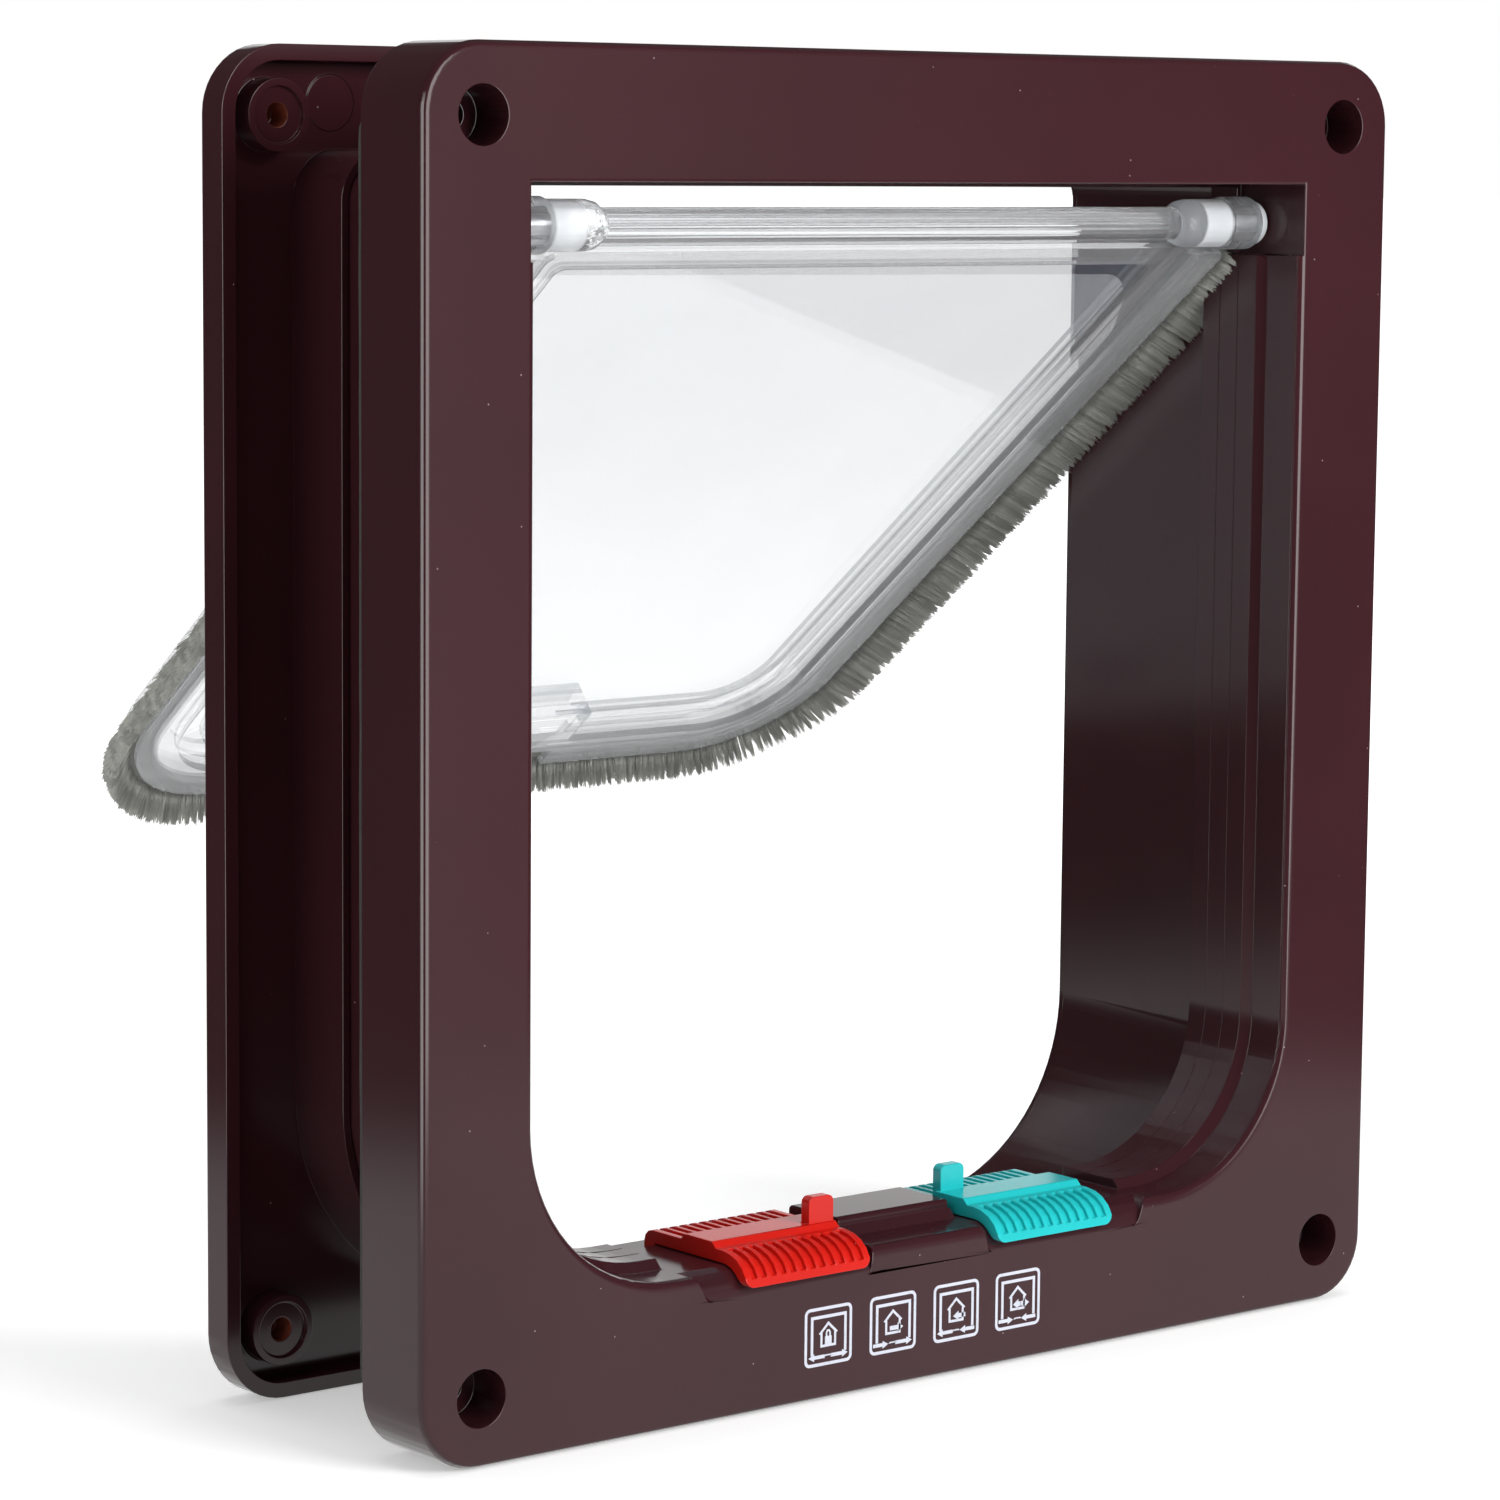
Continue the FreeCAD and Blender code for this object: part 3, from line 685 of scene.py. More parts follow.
def swept(shape: bmesh.types.BMesh, sections: Iterable[Sequence[Vector]]) -> None:
    """Adds a closed solid through sections that have the same number of corners.

    Args:
        shape: The mesh that the solid is added to.
        sections: Each section's corners, in the same order in all.
    """
    rings = []
    for section in sections:
        corners = [shape.verts.new(corner) for corner in section]
        rings.append([shape.edges.new((a, b)) for a, b in zip(corners, corners[1:] + corners[:1])])
    for first, second in zip(rings, rings[1:]):
        bmesh.ops.bridge_loops(shape, edges=first + second)
    for ends in (rings[0], rings[-1]):
        bmesh.ops.contextual_create(shape, geom=ends)
    bmesh.ops.recalc_face_normals(shape, faces=shape.faces)
    for face in shape.faces:
        face.smooth = True


# Frames


@dataclass
class SoftenedMoulding:
    """A plastic moulding as the CAD has it, with softened edges."""

    node: str
    body: str
    finish: MouldedPlastic
    slot: str
    edge_rounding: float

    def build(self) -> bpy.types.Object:
        """Builds the piece in place of its CAD node.

        Returns:
            The new object.
        """
        shape = softened_copy(self.node, self.edge_rounding)
        piece = finished(f"{self.node}_moulding", shape, [self.finish.make()], self.body)
        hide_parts(self.node)
        even_shading(piece.data)
        return piece


@dataclass
class MouldedFrame(SoftenedMoulding):
    """One of the two brown frames."""

    slot: str = "brown_plastic"
    edge_rounding: float = 0.25 * MM


@dataclass
class WitnessLine:
    """A fine raised line round the throat's band, where two parts of the mould meet."""

    depth: float
    finish: MouldedPlastic
    half_width: float = 92.0 * MM
    top: float = 86.8 * MM
    bottom: float = -95.5 * MM
    corner: float = 30.5 * MM
    end: float = 57.8 * MM
    half: float = 0.16 * MM
    height: float = 0.06 * MM
    foot: float = 0.02 * MM
    arc_steps: int = 12

    def build(self) -> bpy.types.Object:
        """Builds the line on both sides as one piece.

        Returns:
            The new object.
        """
        shape = bmesh.new()
        for side in (-1, 1):
            swept(shape, [self._section(side, *step) for step in self._path()])
        name = f"witness_line_{'front' if self.depth < 0 else 'back'}"
        return finished(name, shape, [self.finish.make()], "inside_frame")

    def _path(self) -> list[tuple[float, float, float]]:
        """Follows the right half of the band, from its top down the side and round to the floor.

        Returns:
            Places (x, z), each with its turn from the side to the floor.
        """
        centre_x = self.half_width - self.corner
        centre_z = self.bottom + self.corner
        turns = [math.pi / 2 * step / self.arc_steps for step in range(self.arc_steps + 1)]
        arc = [(centre_x + self.corner * math.cos(t), centre_z - self.corner * math.sin(t), t) for t in turns]
        return [(self.half_width, self.top, 0.0), *arc, (self.end, self.bottom, math.pi / 2)]

    def _section(self, side: int, x: float, z: float, turn: float) -> list[Vector]:
        """Draws the line's section at one place.

        Args:
            side: -1 on the left half and 1 on the right.
            x: Distance from the middle.
            z: Height.
            turn: Turn from the side to the floor in radians.

        Returns:
            The section's three corners.
        """
        inward = Vector((-side * math.cos(turn), 0.0, math.sin(turn)))
        place = Vector((side * x, self.depth, z))
        across = Vector((0.0, self.half, 0.0))
        foot = place - inward * self.foot
        return [foot - across, foot + across, place + inward * self.height]


@dataclass
class FoamStrip:
    """A draught strip on the inside frame's rim, a little uneven."""

    node: str
    finish: CellFoam
    cell: float = 1.0 * MM
    long_cell: float = 6.0 * MM
    inset: Colour = (0.3 * MM, 0.25 * MM, 0.3 * MM)

    def build(self) -> bpy.types.Object:
        """Builds the strip from its box, cut into short lengths that are drawn in unevenly.

        Returns:
            The new object.
        """
        low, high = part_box(self.node)
        size = high - low
        shape = bmesh.new()
        place = Matrix.Translation((low + high) / 2) @ Matrix.Diagonal((*size, 1.0))
        bmesh.ops.create_cube(shape, size=1.0, matrix=place)
        longest = max(range(3), key=lambda axis: size[axis])
        for axis in range(3):
            self._divide(shape, axis, low, size, self.long_cell if axis == longest else self.cell)
        generator = np.random.default_rng(len(self.node))
        for vertex in shape.verts:
            for axis in range(3):
                if axis == longest:
                    continue
                side = (vertex.co[axis] - (low[axis] + high[axis]) / 2) / (size[axis] / 2)
                if axis == 1 and side < 0:
                    continue
                vertex.co[axis] -= side * self.inset[axis] * generator.uniform(0.1, 1.0)
        for face in shape.faces:
            face.smooth = True
        piece = finished(f"{self.node}_foam", shape, [self.finish.make()], "inside_frame")
        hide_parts(self.node)
        smooth = piece.modifiers.new("smooth", "SUBSURF")
        smooth.levels = 1
        smooth.render_levels = 1
        return piece

    def _divide(self, shape: bmesh.types.BMesh, axis: int, low: Vector, size: Vector, pitch: float) -> None:
        """Cuts the box with planes across one axis.

        Args:
            shape: The box.
            axis: The axis that the planes cross.
            low: Lowest corner of the box.
            size: Its size.
            pitch: Rough distance between the planes.
        """
        steps = max(2, round(size[axis] / pitch))
        normal = Vector(tuple(1.0 if index == axis else 0.0 for index in range(3)))
        for step in range(1, steps):
            cut = low + normal * (size[axis] * step / steps)
            geometry = shape.verts[:] + shape.edges[:] + shape.faces[:]
            bmesh.ops.bisect_plane(shape, geom=geometry, plane_co=cut, plane_no=normal, dist=1e-7)


# Flap


@dataclass
class FlapPlace:
    """Where the flap hangs and how far it is swung open."""

    hinge_y: float = -5.6 * MM
    hinge_z: float = 93.2 * MM
    swing: float = math.radians(51.5)
    middle: float = 0.7 * MM
    half_width: float = 88.0 * MM
    drop: float = 186.0 * MM
    corner: float = 27.0 * MM

    def opened(self) -> Matrix:
        """The matrix from the hanging flap, with its hinge axis on X, to its place."""
        return Matrix.Translation((0.0, self.hinge_y, self.hinge_z)) @ Matrix.Rotation(self.swing, 4, "X")


class FlapPart(Enum):
    """Zones of the clear moulding."""

    PLATE = 0
    RIM = 1
    HINGE = 2


@dataclass
class ClearFlap:
    """The clear flap: thin plate, thick rim, top bar and hinge barrels."""

    place: FlapPlace
    rim_width: float = 14.6 * MM
    top_zone: float = 5.5 * MM
    plate_top: float = 11 * MM
    edge_rounding: float = 0.3 * MM
    finishes: dict[FlapPart, ClearPlastic] = field(
        default_factory=lambda: {
            FlapPart.PLATE: ClearPlastic("clear_plate", 0.35),
            FlapPart.RIM: ClearPlastic(
                "clear_rim",
                0.5,
                tint=(0.965, 0.975, 0.985),
                haze=0.15,
                milk=(0.8, 0.82, 0.85),
                scratch_share=0.05,
            ),
            FlapPart.HINGE: ClearPlastic(
                "clear_hinge",
                0.9,
                tint=(0.93, 0.94, 0.955),
                haze=0.1,
                milk=(0.8, 0.83, 0.86),
                scratch_share=0.03,
                frosted=((76 * MM, 83 * MM), (91 * MM, 96 * MM)),
            ),
        }
    )

    def build(self) -> bpy.types.Object:
        """Builds the flap's piece in place of its CAD node.

        Returns:
            The new object.
        """
        shape = softened_copy("flap_panel", self.edge_rounding)
        hanging = self.place.opened().inverted()
        for face in shape.faces:
            face.material_index = self._zone(hanging @ face.calc_center_median()).value
        materials = [self.finishes[part].make() for part in FlapPart]
        piece = finished("flap_moulding", shape, materials, "flap")
        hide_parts("flap_panel")
        even_shading(piece.data)
        return piece

    def _zone(self, centre: Vector) -> FlapPart:
        """Finds the zone of a face.

        Args:
            centre: The face's centre on the hanging flap.

        Returns:
            The zone.
        """
        down = -centre.z
        if down < self.top_zone:
            return FlapPart.HINGE
        inner = self.place.half_width - self.rim_width
        inside = abs(centre.x) < inner and self.plate_top < down < self.place.drop - self.rim_width
        return FlapPart.PLATE if inside else FlapPart.RIM


@dataclass
class BristleEdge:
    """The dense pile in one half of the flap's edge, combed over toward the room."""

    place: FlapPlace
    finish: BristlePile
    side: int
    count: int = 40000
    start: float = 8.2 * MM
    inner_end: float = 14.5 * MM
    side_reach: float = 7.0 * MM
    bottom_reach: float = 5.0 * MM
    lean: float = 5.6 * MM
    half_root: float = 1.2 * MM
    half_tip: float = 2.3 * MM
    tip_spread: float = 0.25 * MM
    tuft: float = 0.9 * MM
    tuft_rows: int = 3
    gather: float = 0.45
    tuft_sway: float = 0.45 * MM
    own_sway: float = 0.15 * MM
    tuft_rise: float = 0.035
    own_rise: float = 0.05
    sunk: tuple[float, float] = (0.1 * MM, 0.8 * MM)
    thickness: float = 0.09 * MM
    tuft_dark: float = 0.7
    own_dark: float = 0.3
    core_inset: float = 0.3 * MM
    core_steps: int = 120
    core_section: tuple[Point, ...] = (
        (-4.3, 2.0),
        (-0.1, 2.0),
        (0.9, 1.0),
        (2.0, -0.8),
        (1.9, -2.4),
        (0.6, -1.8),
        (-0.1, -1.2),
        (-4.3, -1.2),
    )

    @property
    def name(self) -> str:
        """The strip's side, for its name."""
        return "left" if self.side < 0 else "right"

    @property
    def side_run(self) -> float:
        """Length of the straight run down the side."""
        return self.place.drop - self.place.corner - self.start

    @property
    def arc_run(self) -> float:
        """Length of the turn round the corner."""
        return self.place.corner * math.pi / 2

    def build(self) -> list[bpy.types.Object]:
        """Builds the bristles and the dark core that carries them.

        Returns:
            Builds the bristles and the core that carries them; the core has no along or tuft values, so it
            shows the root colour's painted shade.
        """
        material = self.finish.make()
        pile = self._pile(material)
        core = self._core(material)
        return [pile, core]

    def edge_point(self, travel: np.ndarray) -> tuple[np.ndarray, np.ndarray]:
        """Follows the flap's edge from the hinge down the side and round the corner.

        Args:
            travel: Distances along the edge.

        Returns:
            Points (x, z) of the hanging flap, and outward directions (x, z).
        """
        turn = np.clip((travel - self.side_run) / self.arc_run, 0, 1) * math.pi / 2
        outward = np.stack([np.cos(turn), -np.sin(turn)], axis=1)
        centre = np.array([self.place.half_width - self.place.corner, -(self.place.drop - self.place.corner)])
        point = centre + outward * self.place.corner
        point[:, 1] += np.clip(self.side_run - travel, 0, None)
        point[:, 0] -= np.clip(travel - self.side_run - self.arc_run, 0, None)
        point[:, 0] *= self.side
        outward[:, 0] *= self.side
        return point, outward

    def travel(self) -> float:
        """Length of the bristles' path along the edge."""
        return self.side_run + self.arc_run + self.place.half_width - self.place.corner - self.inner_end

    def _pile(self, material: bpy.types.Material) -> bpy.types.Object:
        """Builds the bristles: one rod, copied and set along the edge.

        Args:
            material: The bristles' material.

        Returns:
            The new object.
        """
        generator = np.random.default_rng(11 + self.side)
        rod = self._rod()
        shape = bmesh.new()
        shape.from_mesh(rod)
        while len(shape.verts) < self.count * len(rod.vertices):
            doubled = bpy.data.meshes.new("doubling")
            shape.to_mesh(doubled)
            shape.from_mesh(doubled)
            bpy.data.meshes.remove(doubled)
        spare = shape.verts[:][self.count * len(rod.vertices) :]
        bmesh.ops.delete(shape, geom=spare, context="VERTS")
        for face in shape.faces:
            face.smooth = True
        pile = finished(f"bristles_{self.name}", shape, [material], "flap")
        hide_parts(f"brush_strip_{self.name}")
        self._set_bristles(pile.data, rod, generator)
        bpy.data.meshes.remove(rod)
        return pile

    def _rod(self) -> bpy.types.Mesh:
        """Makes one bristle from 0 to 1 on Z, with four sides between its flat root and its flat tip.

        Returns:
            The rod's mesh.
        """
        shape = bmesh.new()
        for corner in ((-1.0, 0.0, 0.0), (1.0, 0.0, 0.0), (0.0, -1.0, 1.0), (0.0, 1.0, 1.0)):
            shape.verts.new(corner)
        bmesh.ops.convex_hull(shape, input=shape.verts)
        rod = bpy.data.meshes.new("rod")
        shape.to_mesh(rod)
        shape.free()
        return rod

    def _set_bristles(
        self, mesh: bpy.types.Mesh, rod: bpy.types.Mesh, generator: np.random.Generator
    ) -> None:
        """Sets every copy of the rod in its own place, leaning, in small tufts.

        Args:
            mesh: All the copies.
            rod: The rod they were copied from.
            generator: Source of the unevenness.
        """
        count = self.count
        base = np.array([vertex.co for vertex in rod.vertices])
        travel = np.sort(generator.uniform(0, self.travel(), count))
        across = generator.uniform(-1, 1, count)
        row = np.floor((across + 1) * (self.tuft_rows / 2 - 0.0001)).astype(int)
        clump = np.floor(travel / self.tuft).astype(int) * self.tuft_rows + row
        sway_table = generator.normal(0, 1, clump.max() + 1)
        rise_table = generator.normal(0, 1, clump.max() + 1)
        middle = (np.floor(travel / self.tuft) + 0.5) * self.tuft
        sway = (middle - travel) * self.gather + self.tuft_sway * sway_table[clump]
        sway += self.own_sway * generator.normal(0, 1, count)
        point, outward = self.edge_point(travel)
        along_edge = np.stack([outward[:, 1], -outward[:, 0]], axis=1) * self.side
        bottom = np.clip((travel - self.side_run) / self.arc_run, 0, 1)
        reach = self.side_reach + (self.bottom_reach - self.side_reach) * bottom
        uneven = self.tuft_rise * rise_table[clump] + self.own_rise * generator.normal(0, 1, count)
        rise = reach * (1 + uneven)
        root_y = self.half_root * across
        tip_y = self.half_tip * across - self.lean + self.tip_spread * generator.normal(0, 1, count)
        sunk = -generator.uniform(*self.sunk, count)
        share = base[:, 2][None, :]
        depth = sunk[:, None] + (rise - sunk)[:, None] * share
        aside = sway[:, None] * share + base[:, 0][None, :] * self.thickness
        x = point[:, :1] + outward[:, :1] * depth + along_edge[:, :1] * aside
        z = point[:, 1:] + outward[:, 1:] * depth + along_edge[:, 1:] * aside
        thick = base[:, 1][None, :] * self.thickness
        y = self.place.middle + root_y[:, None] + (tip_y - root_y)[:, None] * share + thick
        hanging = np.stack([x, y, z, np.ones_like(x)], axis=2).reshape(-1, 4)
        placed = hanging @ np.array(self.place.opened()).T
        mesh.vertices.foreach_set("co", placed[:, :3].astype(np.float32).ravel())
        self._attribute(mesh, "along", np.repeat(share, count, axis=0).ravel())
        shade = generator.uniform(0, 1, clump.max() + 1)[clump] * self.tuft_dark
        shade += generator.uniform(0, self.own_dark, count)
        self._attribute(mesh, "tuft", np.repeat(shade, len(base)))
        mesh.update()

    def _attribute(self, mesh: bpy.types.Mesh, name: str, values: np.ndarray) -> None:
        """Stores one number for each vertex."""
        attribute = mesh.attributes.new(name, "FLOAT", "POINT")
        attribute.data.foreach_set("value", values.astype(np.float32))

    def _core(self, material: bpy.types.Material) -> bpy.types.Object:
        """Builds the matted lower pile as a thick ribbon bent round the edge.

        Args:
            material: The bristles' material.

        Returns:
            The new object.
        """
        travel = np.linspace(self.core_inset, self.travel() - self.core_inset, self.core_steps)
        point, outward = self.edge_point(travel)
        opened = self.place.opened()
        shape = bmesh.new()
        swept(
            shape,
            [
                [opened @ Vector((px + ox * u * MM, v * MM, pz + oz * u * MM)) for u, v in self.core_section]
                for (px, pz), (ox, oz) in zip(point, outward)
            ],
        )
        # The core has no along attribute, so it takes the root colour, which is painted shade
        return finished(f"bristle_roots_{self.name}", shape, [material], "flap")


# Lock sliders


@dataclass
class LockSlider(SoftenedMoulding):
    """One ribbed lock slider with its upright tab."""

    edge_rounding: float = 0.18 * MM


# Printed symbols


class Way(Enum):
    """Which way an arrow points."""

    LEFT = -1
    RIGHT = 1


@dataclass
class LockSymbol:
    """One printed symbol: a framed house, what passes through it, and the sliders' two arrows."""

    left: float
    sill_arrows: tuple[Way, Way]
    passage: tuple[Way, ...]
    house_stroke: float = 0.48

    def shapes(self) -> list[tuple[list[Point], float]]:
        """Draws the symbol in millimetres from its lower left corner.

        Returns:
            Each outline with its stroke width, or with 0 if it is filled.
        """
        frame_outline = [(1.5, 2.2), (1.5, 9.6), (10.2, 9.6), (10.2, 2.2)]
        frame_outline += [(9.6, 2.2), (9.6, 9.0), (2.1, 9.0), (2.1, 2.2)]
        house = [(3.85, 3.5), (7.65, 3.5), (7.65, 5.9), (8.05, 6.15), (5.75, 8.3), (3.45, 6.15), (3.85, 5.9)]
        return [(frame_outline, 0.0), (house, self.house_stroke), *self._sill_arrows(), *self._passage()]

    def _sill_arrows(self) -> list[tuple[list[Point], float]]:
        """Draws the two arrows along the symbol's foot, and the small bridge between them.

        Returns:
            Their outlines, all filled.
        """
        level = 1.75
        ends = {
            Way.LEFT: (self._arrow(4.9, 1.0, level), self._arrow(10.4, 6.7, level)),
            Way.RIGHT: (self._arrow(0.9, 4.6, level), self._arrow(6.4, 10.5, level)),
        }
        bridge = [(4.7, level), (5.1, level + 0.28), (6.5, level + 0.28), (6.7, level)]
        bridge += [(6.4, level - 0.05), (6.2, level + 0.02), (5.3, level + 0.02), (5.0, level - 0.05)]
        first = ends[self.sill_arrows[0]][0]
        second = ends[self.sill_arrows[1]][1]
        return [(first, 0.0), (second, 0.0), (bridge, 0.0)]

    def _passage(self) -> list[tuple[list[Point], float]]:
        """Draws the arrow through the house's wall, or a lock where nothing passes.

        Returns:
            The outlines, all filled.
        """
        if not self.passage:
            body = [(4.95, 4.0), (6.55, 4.0), (6.55, 5.5), (4.95, 5.5)]
            arch = [(5.15, 5.5), (5.15, 6.2), (5.45, 6.75), (6.05, 6.75), (6.35, 6.2), (6.35, 5.5)]
            hollow = [(6.0, 5.5), (6.0, 6.15), (5.85, 6.4), (5.65, 6.4), (5.5, 6.15), (5.5, 5.5)]
            return [(body, 0.0), (arch + hollow, 0.0)]
        level = 4.65
        if len(self.passage) == 2:
            return [(self._arrow(6.6, 4.6, level, 0.45), 0.0), (self._arrow(6.5, 8.7, level, 0.45), 0.0)]
        if self.passage[0] is Way.RIGHT:
            return [(self._arrow(5.0, 8.3, level, 0.42), 0.0)]
        return [(self._arrow(8.1, 5.0, level, 0.42), 0.0)]

    def _arrow(self, tail: float, tip: float, level: float, half: float = 0.34) -> list[Point]:
        """Draws an arrow.

        Args:
            tail: Where its shaft starts.
            tip: Where it points to.
            level: Its height above the symbol's foot.
            half: Half the width of its shaft.

        Returns:
            The arrow's outline.
        """
        way = 1.0 if tip > tail else -1.0
        neck = tip - way * 1.35
        return [
            (tail, level - half),
            (neck, level - half),
            (neck, level - 2.2 * half),
            (tip, level),
            (neck, level + 2.2 * half),
            (neck, level + half),
            (tail, level + half),
        ]


@dataclass
class SymbolRow:
    """The row of printed symbols below the sill."""

    finish: PadPrint
    face_y: float = -18.6 * MM
    foot: float = -118.3 * MM
    width: float = 11.5
    height: float = 11.2
    corner: float = 1.25
    corner_steps: int = 5
    stroke: float = 0.6
    ink: float = 0.04 * MM
    symbols: tuple[LockSymbol, ...] = (
        LockSymbol(-30.8, (Way.LEFT, Way.RIGHT), ()),
        LockSymbol(-14.9, (Way.RIGHT, Way.RIGHT), (Way.RIGHT,)),
        LockSymbol(1.0, (Way.LEFT, Way.LEFT), (Way.LEFT,)),
        LockSymbol(16.8, (Way.RIGHT, Way.LEFT), (Way.LEFT, Way.RIGHT)),
    )

    def build(self) -> bpy.types.Object:
        """Builds all symbols as one thin layer of ink on the face.

        Returns:
            The new object.
        """
        shape = bmesh.new()
        for symbol in self.symbols:
            self._border(shape, symbol.left)
            for outline, stroke in symbol.shapes():
                self._flat(shape, symbol.left, outline, stroke)
        faces = shape.faces[:]
        made = bmesh.ops.extrude_face_region(shape, geom=faces)
        raised = [item for item in made["geom"] if isinstance(item, bmesh.types.BMVert)]
        bmesh.ops.translate(shape, verts=raised, vec=(0.0, -self.ink, 0.0))
        bmesh.ops.recalc_face_normals(shape, faces=shape.faces)
        return finished("printed_symbols", shape, [self.finish.make()], "inside_frame")

    def _face(self, shape: bmesh.types.BMesh, left: float, outline: Iterable[Point]) -> None:
        """Adds a flat face on the frame, from an outline in a symbol's millimetres."""
        places = [((left + u) * MM, self.face_y, self.foot + v * MM) for u, v in outline]
        shape.faces.new([shape.verts.new(place) for place in places])

    def _flat(self, shape: bmesh.types.BMesh, left: float, outline: list[Point], stroke: float) -> None:
        """Adds a filled outline, or its border only where it has a stroke width.

        Args:
            shape: The row's mesh.
            left: The symbol's left side in millimetres.
            outline: The outline's corners.
            stroke: Width of the border, or 0 for a filled outline.
        """
        if not stroke:
            self._face(shape, left, outline)
            return
        inner = self._inset(outline, stroke)
        for i in range(len(outline)):
            self._face(shape, left, [outline[i - 1], outline[i], inner[i], inner[i - 1]])

    def _inset(self, outline: list[Point], stroke: float) -> list[Point]:
        """Moves a closed outline inward.

        Args:
            outline: Its corners, counted against the clock.
            stroke: How far each side moves.

        Returns:
            The moved corners, in the same order.
        """
        inner = []
        for i, (u, v) in enumerate(outline):
            before = Vector((u, v)) - Vector(outline[i - 1])
            after = Vector(outline[(i + 1) % len(outline)]) - Vector((u, v))
            sides = [Vector((-side.y, side.x)).normalized() for side in (before, after)]
            middle = (sides[0] + sides[1]).normalized()
            place = Vector((u, v)) + middle * (stroke / middle.dot(sides[0]))
            inner.append((place.x, place.y))
        return inner

    def _border(self, shape: bmesh.types.BMesh, left: float) -> None:
        """Adds the rounded square round a symbol.

        Args:
            shape: The row's mesh.
            left: The symbol's left side in millimetres.
        """
        right, top = self.width - self.corner, self.height - self.corner
        centres = [(right, top), (self.corner, top), (self.corner, self.corner), (right, self.corner)]
        outline = [
            (u + self.corner * math.cos(turn), v + self.corner * math.sin(turn))
            for quarter, (u, v) in enumerate(centres)
            for step in range(self.corner_steps + 1)
            for turn in [math.pi / 2 * (quarter + step / self.corner_steps)]
        ]
        self._flat(shape, left, outline, self.stroke)


# Studio


@dataclass
class Camera:
    """The photograph's camera, from a fit of the frame's outlines."""

    place: Colour = (-0.5925, -0.6928, 0.1063)
    back: Colour = (-0.62555165, -0.770448, 0.12286181)
    roll: float = math.radians(0.504)
    lens: float = 115.9056

    def build(self) -> bpy.types.Object:
        """Adds the camera and makes it the scene's.

        Returns:
            The camera.
        """
        data = bpy.data.cameras.new("camera")
        data.sensor_width = 36.0
        data.lens = self.lens
        back = Vector(self.back).normalized()
        right = Vector((0.0, 0.0, 1.0)).cross(back).normalized()
        up = back.cross(right)
        turned_right = math.cos(self.roll) * right + math.sin(self.roll) * up
        turned_up = -math.sin(self.roll) * right + math.cos(self.roll) * up
        camera = bpy.data.objects.new("camera", data)
        turn = Matrix((turned_right, turned_up, back)).transposed().to_4x4()
        camera.matrix_world = Matrix.Translation(self.place) @ turn
        bpy.context.scene.collection.objects.link(camera)
        bpy.context.scene.camera = camera
        return camera


@dataclass
class SoftBox:
    """A square soft light, which gloss doesn't show."""

    name: str
    place: Colour
    aim: Colour
    size: float
    power: float

    def build(self) -> bpy.types.Object:
        """Adds the light, turned to its aim.

        Returns:
            The light.
        """
        data = bpy.data.lights.new(self.name, "AREA")
        data.shape = "SQUARE"
        data.size = self.size
        data.energy = self.power
        light = bpy.data.objects.new(self.name, data)
        direction = Vector(self.aim) - Vector(self.place)
        light.rotation_mode = "QUATERNION"
        light.rotation_quaternion = direction.to_track_quat("-Z", "Y")
        light.location = self.place
        light.visible_glossy = False
        bpy.context.scene.collection.objects.link(light)
        return light


@dataclass(frozen=True)
class Bright:
    """A bright part of what gloss shows of the room, by its turn from the front toward the right."""

    turn: float
    core: float
    edge: float
    level: float
    highest: float = 0.5
    fade_from: float = 0.6


@dataclass(frozen=True)
class Surroundings:
    """What gloss shows of the room: dark, with a pale wall, a white back and two soft boxes."""

    base: float = 0.06
    parts: tuple[Bright, ...] = (
        Bright(math.radians(25), 0.1, 0.375, 0.6),
        Bright(math.radians(141), 0.45, 0.68, 1.0, 0.35),
        Bright(math.radians(6), 0.24, 0.35, 4.8),
        Bright(math.radians(-101), 0.2, 0.28, 4.8),
    )

    def level(self, desk: ShaderDesk, direction: Value) -> Value:
        """Gives the room's brightness in a direction.

        Args:
            desk: The desk of the tree that needs it.
            direction: The direction, outward from the object.

        Returns:
            The brightness.
        """
        x, y, z = desk.axes(direction)
        turn = desk.node("ShaderNodeMath", {"operation": "ARCTAN2"}, {0: x, 1: 0.0 - y})
        level = x * 0.0 + self.base
        for part in self.parts:
            beside = desk.ramp(abs(turn - part.turn), part.core, part.edge, part.level, 0.0)
            level = level + beside * desk.ramp(z, part.highest * part.fade_from, part.highest, 1.0, 0.0)
        return level


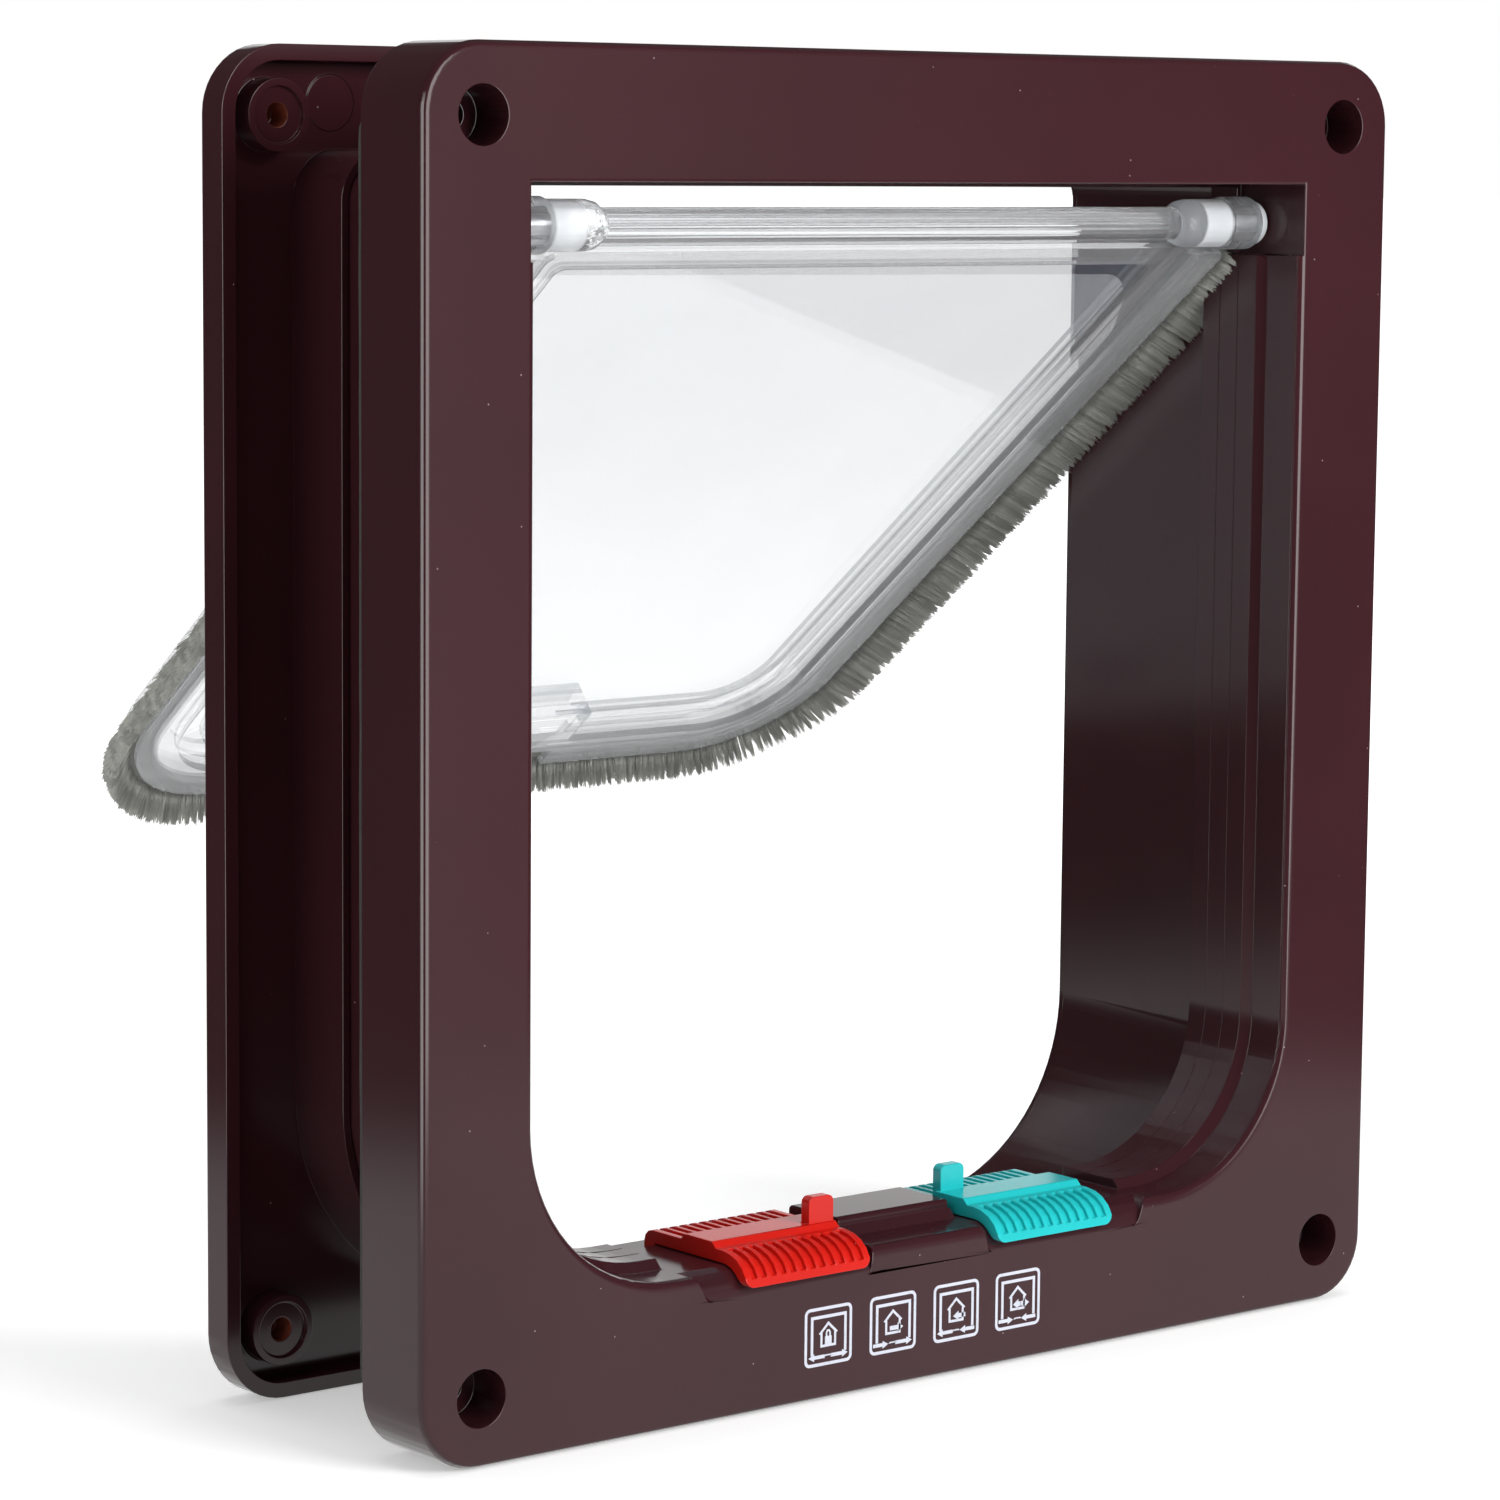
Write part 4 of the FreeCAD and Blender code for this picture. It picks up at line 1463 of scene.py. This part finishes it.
@dataclass
class Studio:
    """Pale floor, white surroundings and soft light."""

    floor_z: float = -125.2 * MM
    floor_size: float = 40.0
    floor_colour: Colour = (0.82, 0.82, 0.82)
    lift: tuple[float, float, float] = (0.2, 1.0, 0.4)
    near: tuple[float, float, float] = (0.28, 0.42, 0.8)
    ambient: float = 0.3
    inner_dimming: float = 0.88
    surroundings: Surroundings = field(default_factory=Surroundings)
    lights: tuple[SoftBox, ...] = (
        SoftBox("front", (0.22, -1.0, 0.42), (0.0, 0.0, 0.0), 0.5, 10.5),
        SoftBox("left", (-1.6, -0.2, 0.7), (0.0, 0.0, 0.0), 1.0, 4.5),
        SoftBox("above", (0.1, 0.2, 2.2), (0.0, 0.0, 0.0), 1.8, 18.0),
        SoftBox("behind", (-0.6, 2.0, 0.9), (0.0, 0.0, 0.0), 1.4, 8.0),
    )

    def build(self) -> None:
        """Builds the floor, the lights and the world."""
        self._floor()
        for light in self.lights:
            light.build()
        self._world()
        bpy.context.scene.view_settings.view_transform = "Standard"

    def _floor(self) -> None:
        """A wide white floor that keeps the object's shadow."""
        shape = bmesh.new()
        place = Matrix.Translation((0.0, 0.0, self.floor_z))
        bmesh.ops.create_grid(shape, x_segments=1, y_segments=1, size=self.floor_size / 2, matrix=place)
        mesh = bpy.data.meshes.new("floor")
        shape.to_mesh(mesh)
        shape.free()
        floor = bpy.data.objects.new("floor", mesh)
        bpy.context.scene.collection.objects.link(floor)
        material, desk = new_material("floor_white")
        x, y, _ = desk.axes(desk.place())
        away = desk.node("ShaderNodeMath", {"operation": "SQRT"}, {0: x * x + y * y})
        seen, gloss = self._rays(desk)
        matte = desk.node("ShaderNodeBsdfDiffuse", {}, {"Color": (*self.floor_colour, 1.0)})
        start, end, least = self.lift
        lift = seen * desk.ramp(away, start, end, least, 1.0)
        lit = desk.node("ShaderNodeAddShader", {}, {0: matte, 1: desk.emission(lift)})
        incoming = desk.node("ShaderNodeNewGeometry", {}, {}, "Incoming")
        outward = desk.stretched(incoming, (-1.0, -1.0, -1.0))
        level = self.surroundings.level(desk, outward)
        start, end, near_level = self.near
        near = desk.ramp(away, start, end, 1.0, 0.0)
        level = near * near_level + (1.0 - near) * level
        desk.output(desk.node("ShaderNodeMixShader", {}, {0: gloss, 1: lit, 2: desk.emission(level)}))
        mesh.materials.append(material)

    def _rays(self, desk: ShaderDesk) -> tuple[Value, Value]:
        """Sorts the rays by what they belong to.

        Args:
            desk: The desk of the tree that needs it.

        Returns:
            One for the camera's view, also through clear plastic, and one for what gloss shows.
        """
        camera = desk.node("ShaderNodeLightPath", {}, {}, "Is Camera Ray")
        clean = desk.other(camera, "Diffuse Depth") < 0.5
        through = desk.other(camera, "Is Transmission Ray")
        mirrored = desk.other(camera, "Glossy Depth") > 0.5
        straight = (camera + through) > 0.5
        return straight * clean * (1.0 - mirrored * self.inner_dimming), mirrored * clean * (1.0 - through)

    def _world(self) -> None:
        """White where the camera looks, a plain ambient level, and softer surroundings in gloss."""
        world = bpy.data.worlds.new("studio")
        world.use_nodes = True
        bpy.context.scene.world = world
        desk = ShaderDesk(world.node_tree)
        direction = desk.node("ShaderNodeTexCoord", {}, {}, "Generated")
        seen, gloss = self._rays(desk)
        level = seen + gloss * self.surroundings.level(desk, direction) + (1.0 - seen - gloss) * self.ambient
        shader = desk.node("ShaderNodeBackground", {}, {"Color": (1.0, 1.0, 1.0, 1.0), "Strength": level})
        desk.output(shader, "ShaderNodeOutputWorld")


def main() -> None:
    """Builds every piece in order and logs it."""
    logging.basicConfig(level=logging.INFO, format="%(name)s %(message)s")
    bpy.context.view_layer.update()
    Camera().build()
    Studio().build()
    brown = (0.047, 0.0125, 0.0165)
    MouldedFrame("front_frame", "inside_frame", MouldedPlastic("brown_plastic_front", brown)).build()
    for depth in (-2.8 * MM, 2.2 * MM):
        WitnessLine(depth, MouldedPlastic("brown_plastic_line", brown)).build()
    rear = MouldedPlastic(
        "brown_plastic_rear", brown, glow_at=(104.75 * MM, 112.25 * MM, 2.3 * MM, 50.9 * MM)
    )
    MouldedFrame("rear_frame", "outside_frame", rear).build()
    for side in ("top", "bottom", "left", "right"):
        FoamStrip(f"foam_strip_{side}", CellFoam(f"cell_foam_{side}")).build()
    place = FlapPlace()
    ClearFlap(place).build()
    for side in (-1, 1):
        BristleEdge(place, BristlePile("grey_bristles"), side).build()
    red = MouldedPlastic("red_plastic", (0.75, 0.016, 0.009), 0.18, 0.15, (0.8, 0.3, 0.28))
    teal = MouldedPlastic("teal_plastic", (0.02, 0.6, 0.62), 0.18, 0.15, (0.5, 0.8, 0.8))
    LockSlider("red_lock_slider", "red_slider", red, "red_plastic").build()
    LockSlider("teal_lock_slider", "teal_slider", teal, "teal_plastic").build()
    SymbolRow(PadPrint("white_ink")).build()
    steel = PlainMetal("pin_steel", (0.62, 0.62, 0.63), 0.25).make()
    magnet = PlainMetal("bar_magnet", (0.2, 0.2, 0.21), 0.4).make()
    for node, metal in (
        ("hinge_pin_left", steel),
        ("hinge_pin_right", steel),
        ("flap_magnet", magnet),
        ("sill_magnet", magnet),
    ):
        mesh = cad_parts[node].data
        mesh.materials.clear()
        mesh.materials.append(metal)
        LOG.info("%s: dressed in %s", node, metal.name)


if __name__ == "__main__":
    main()
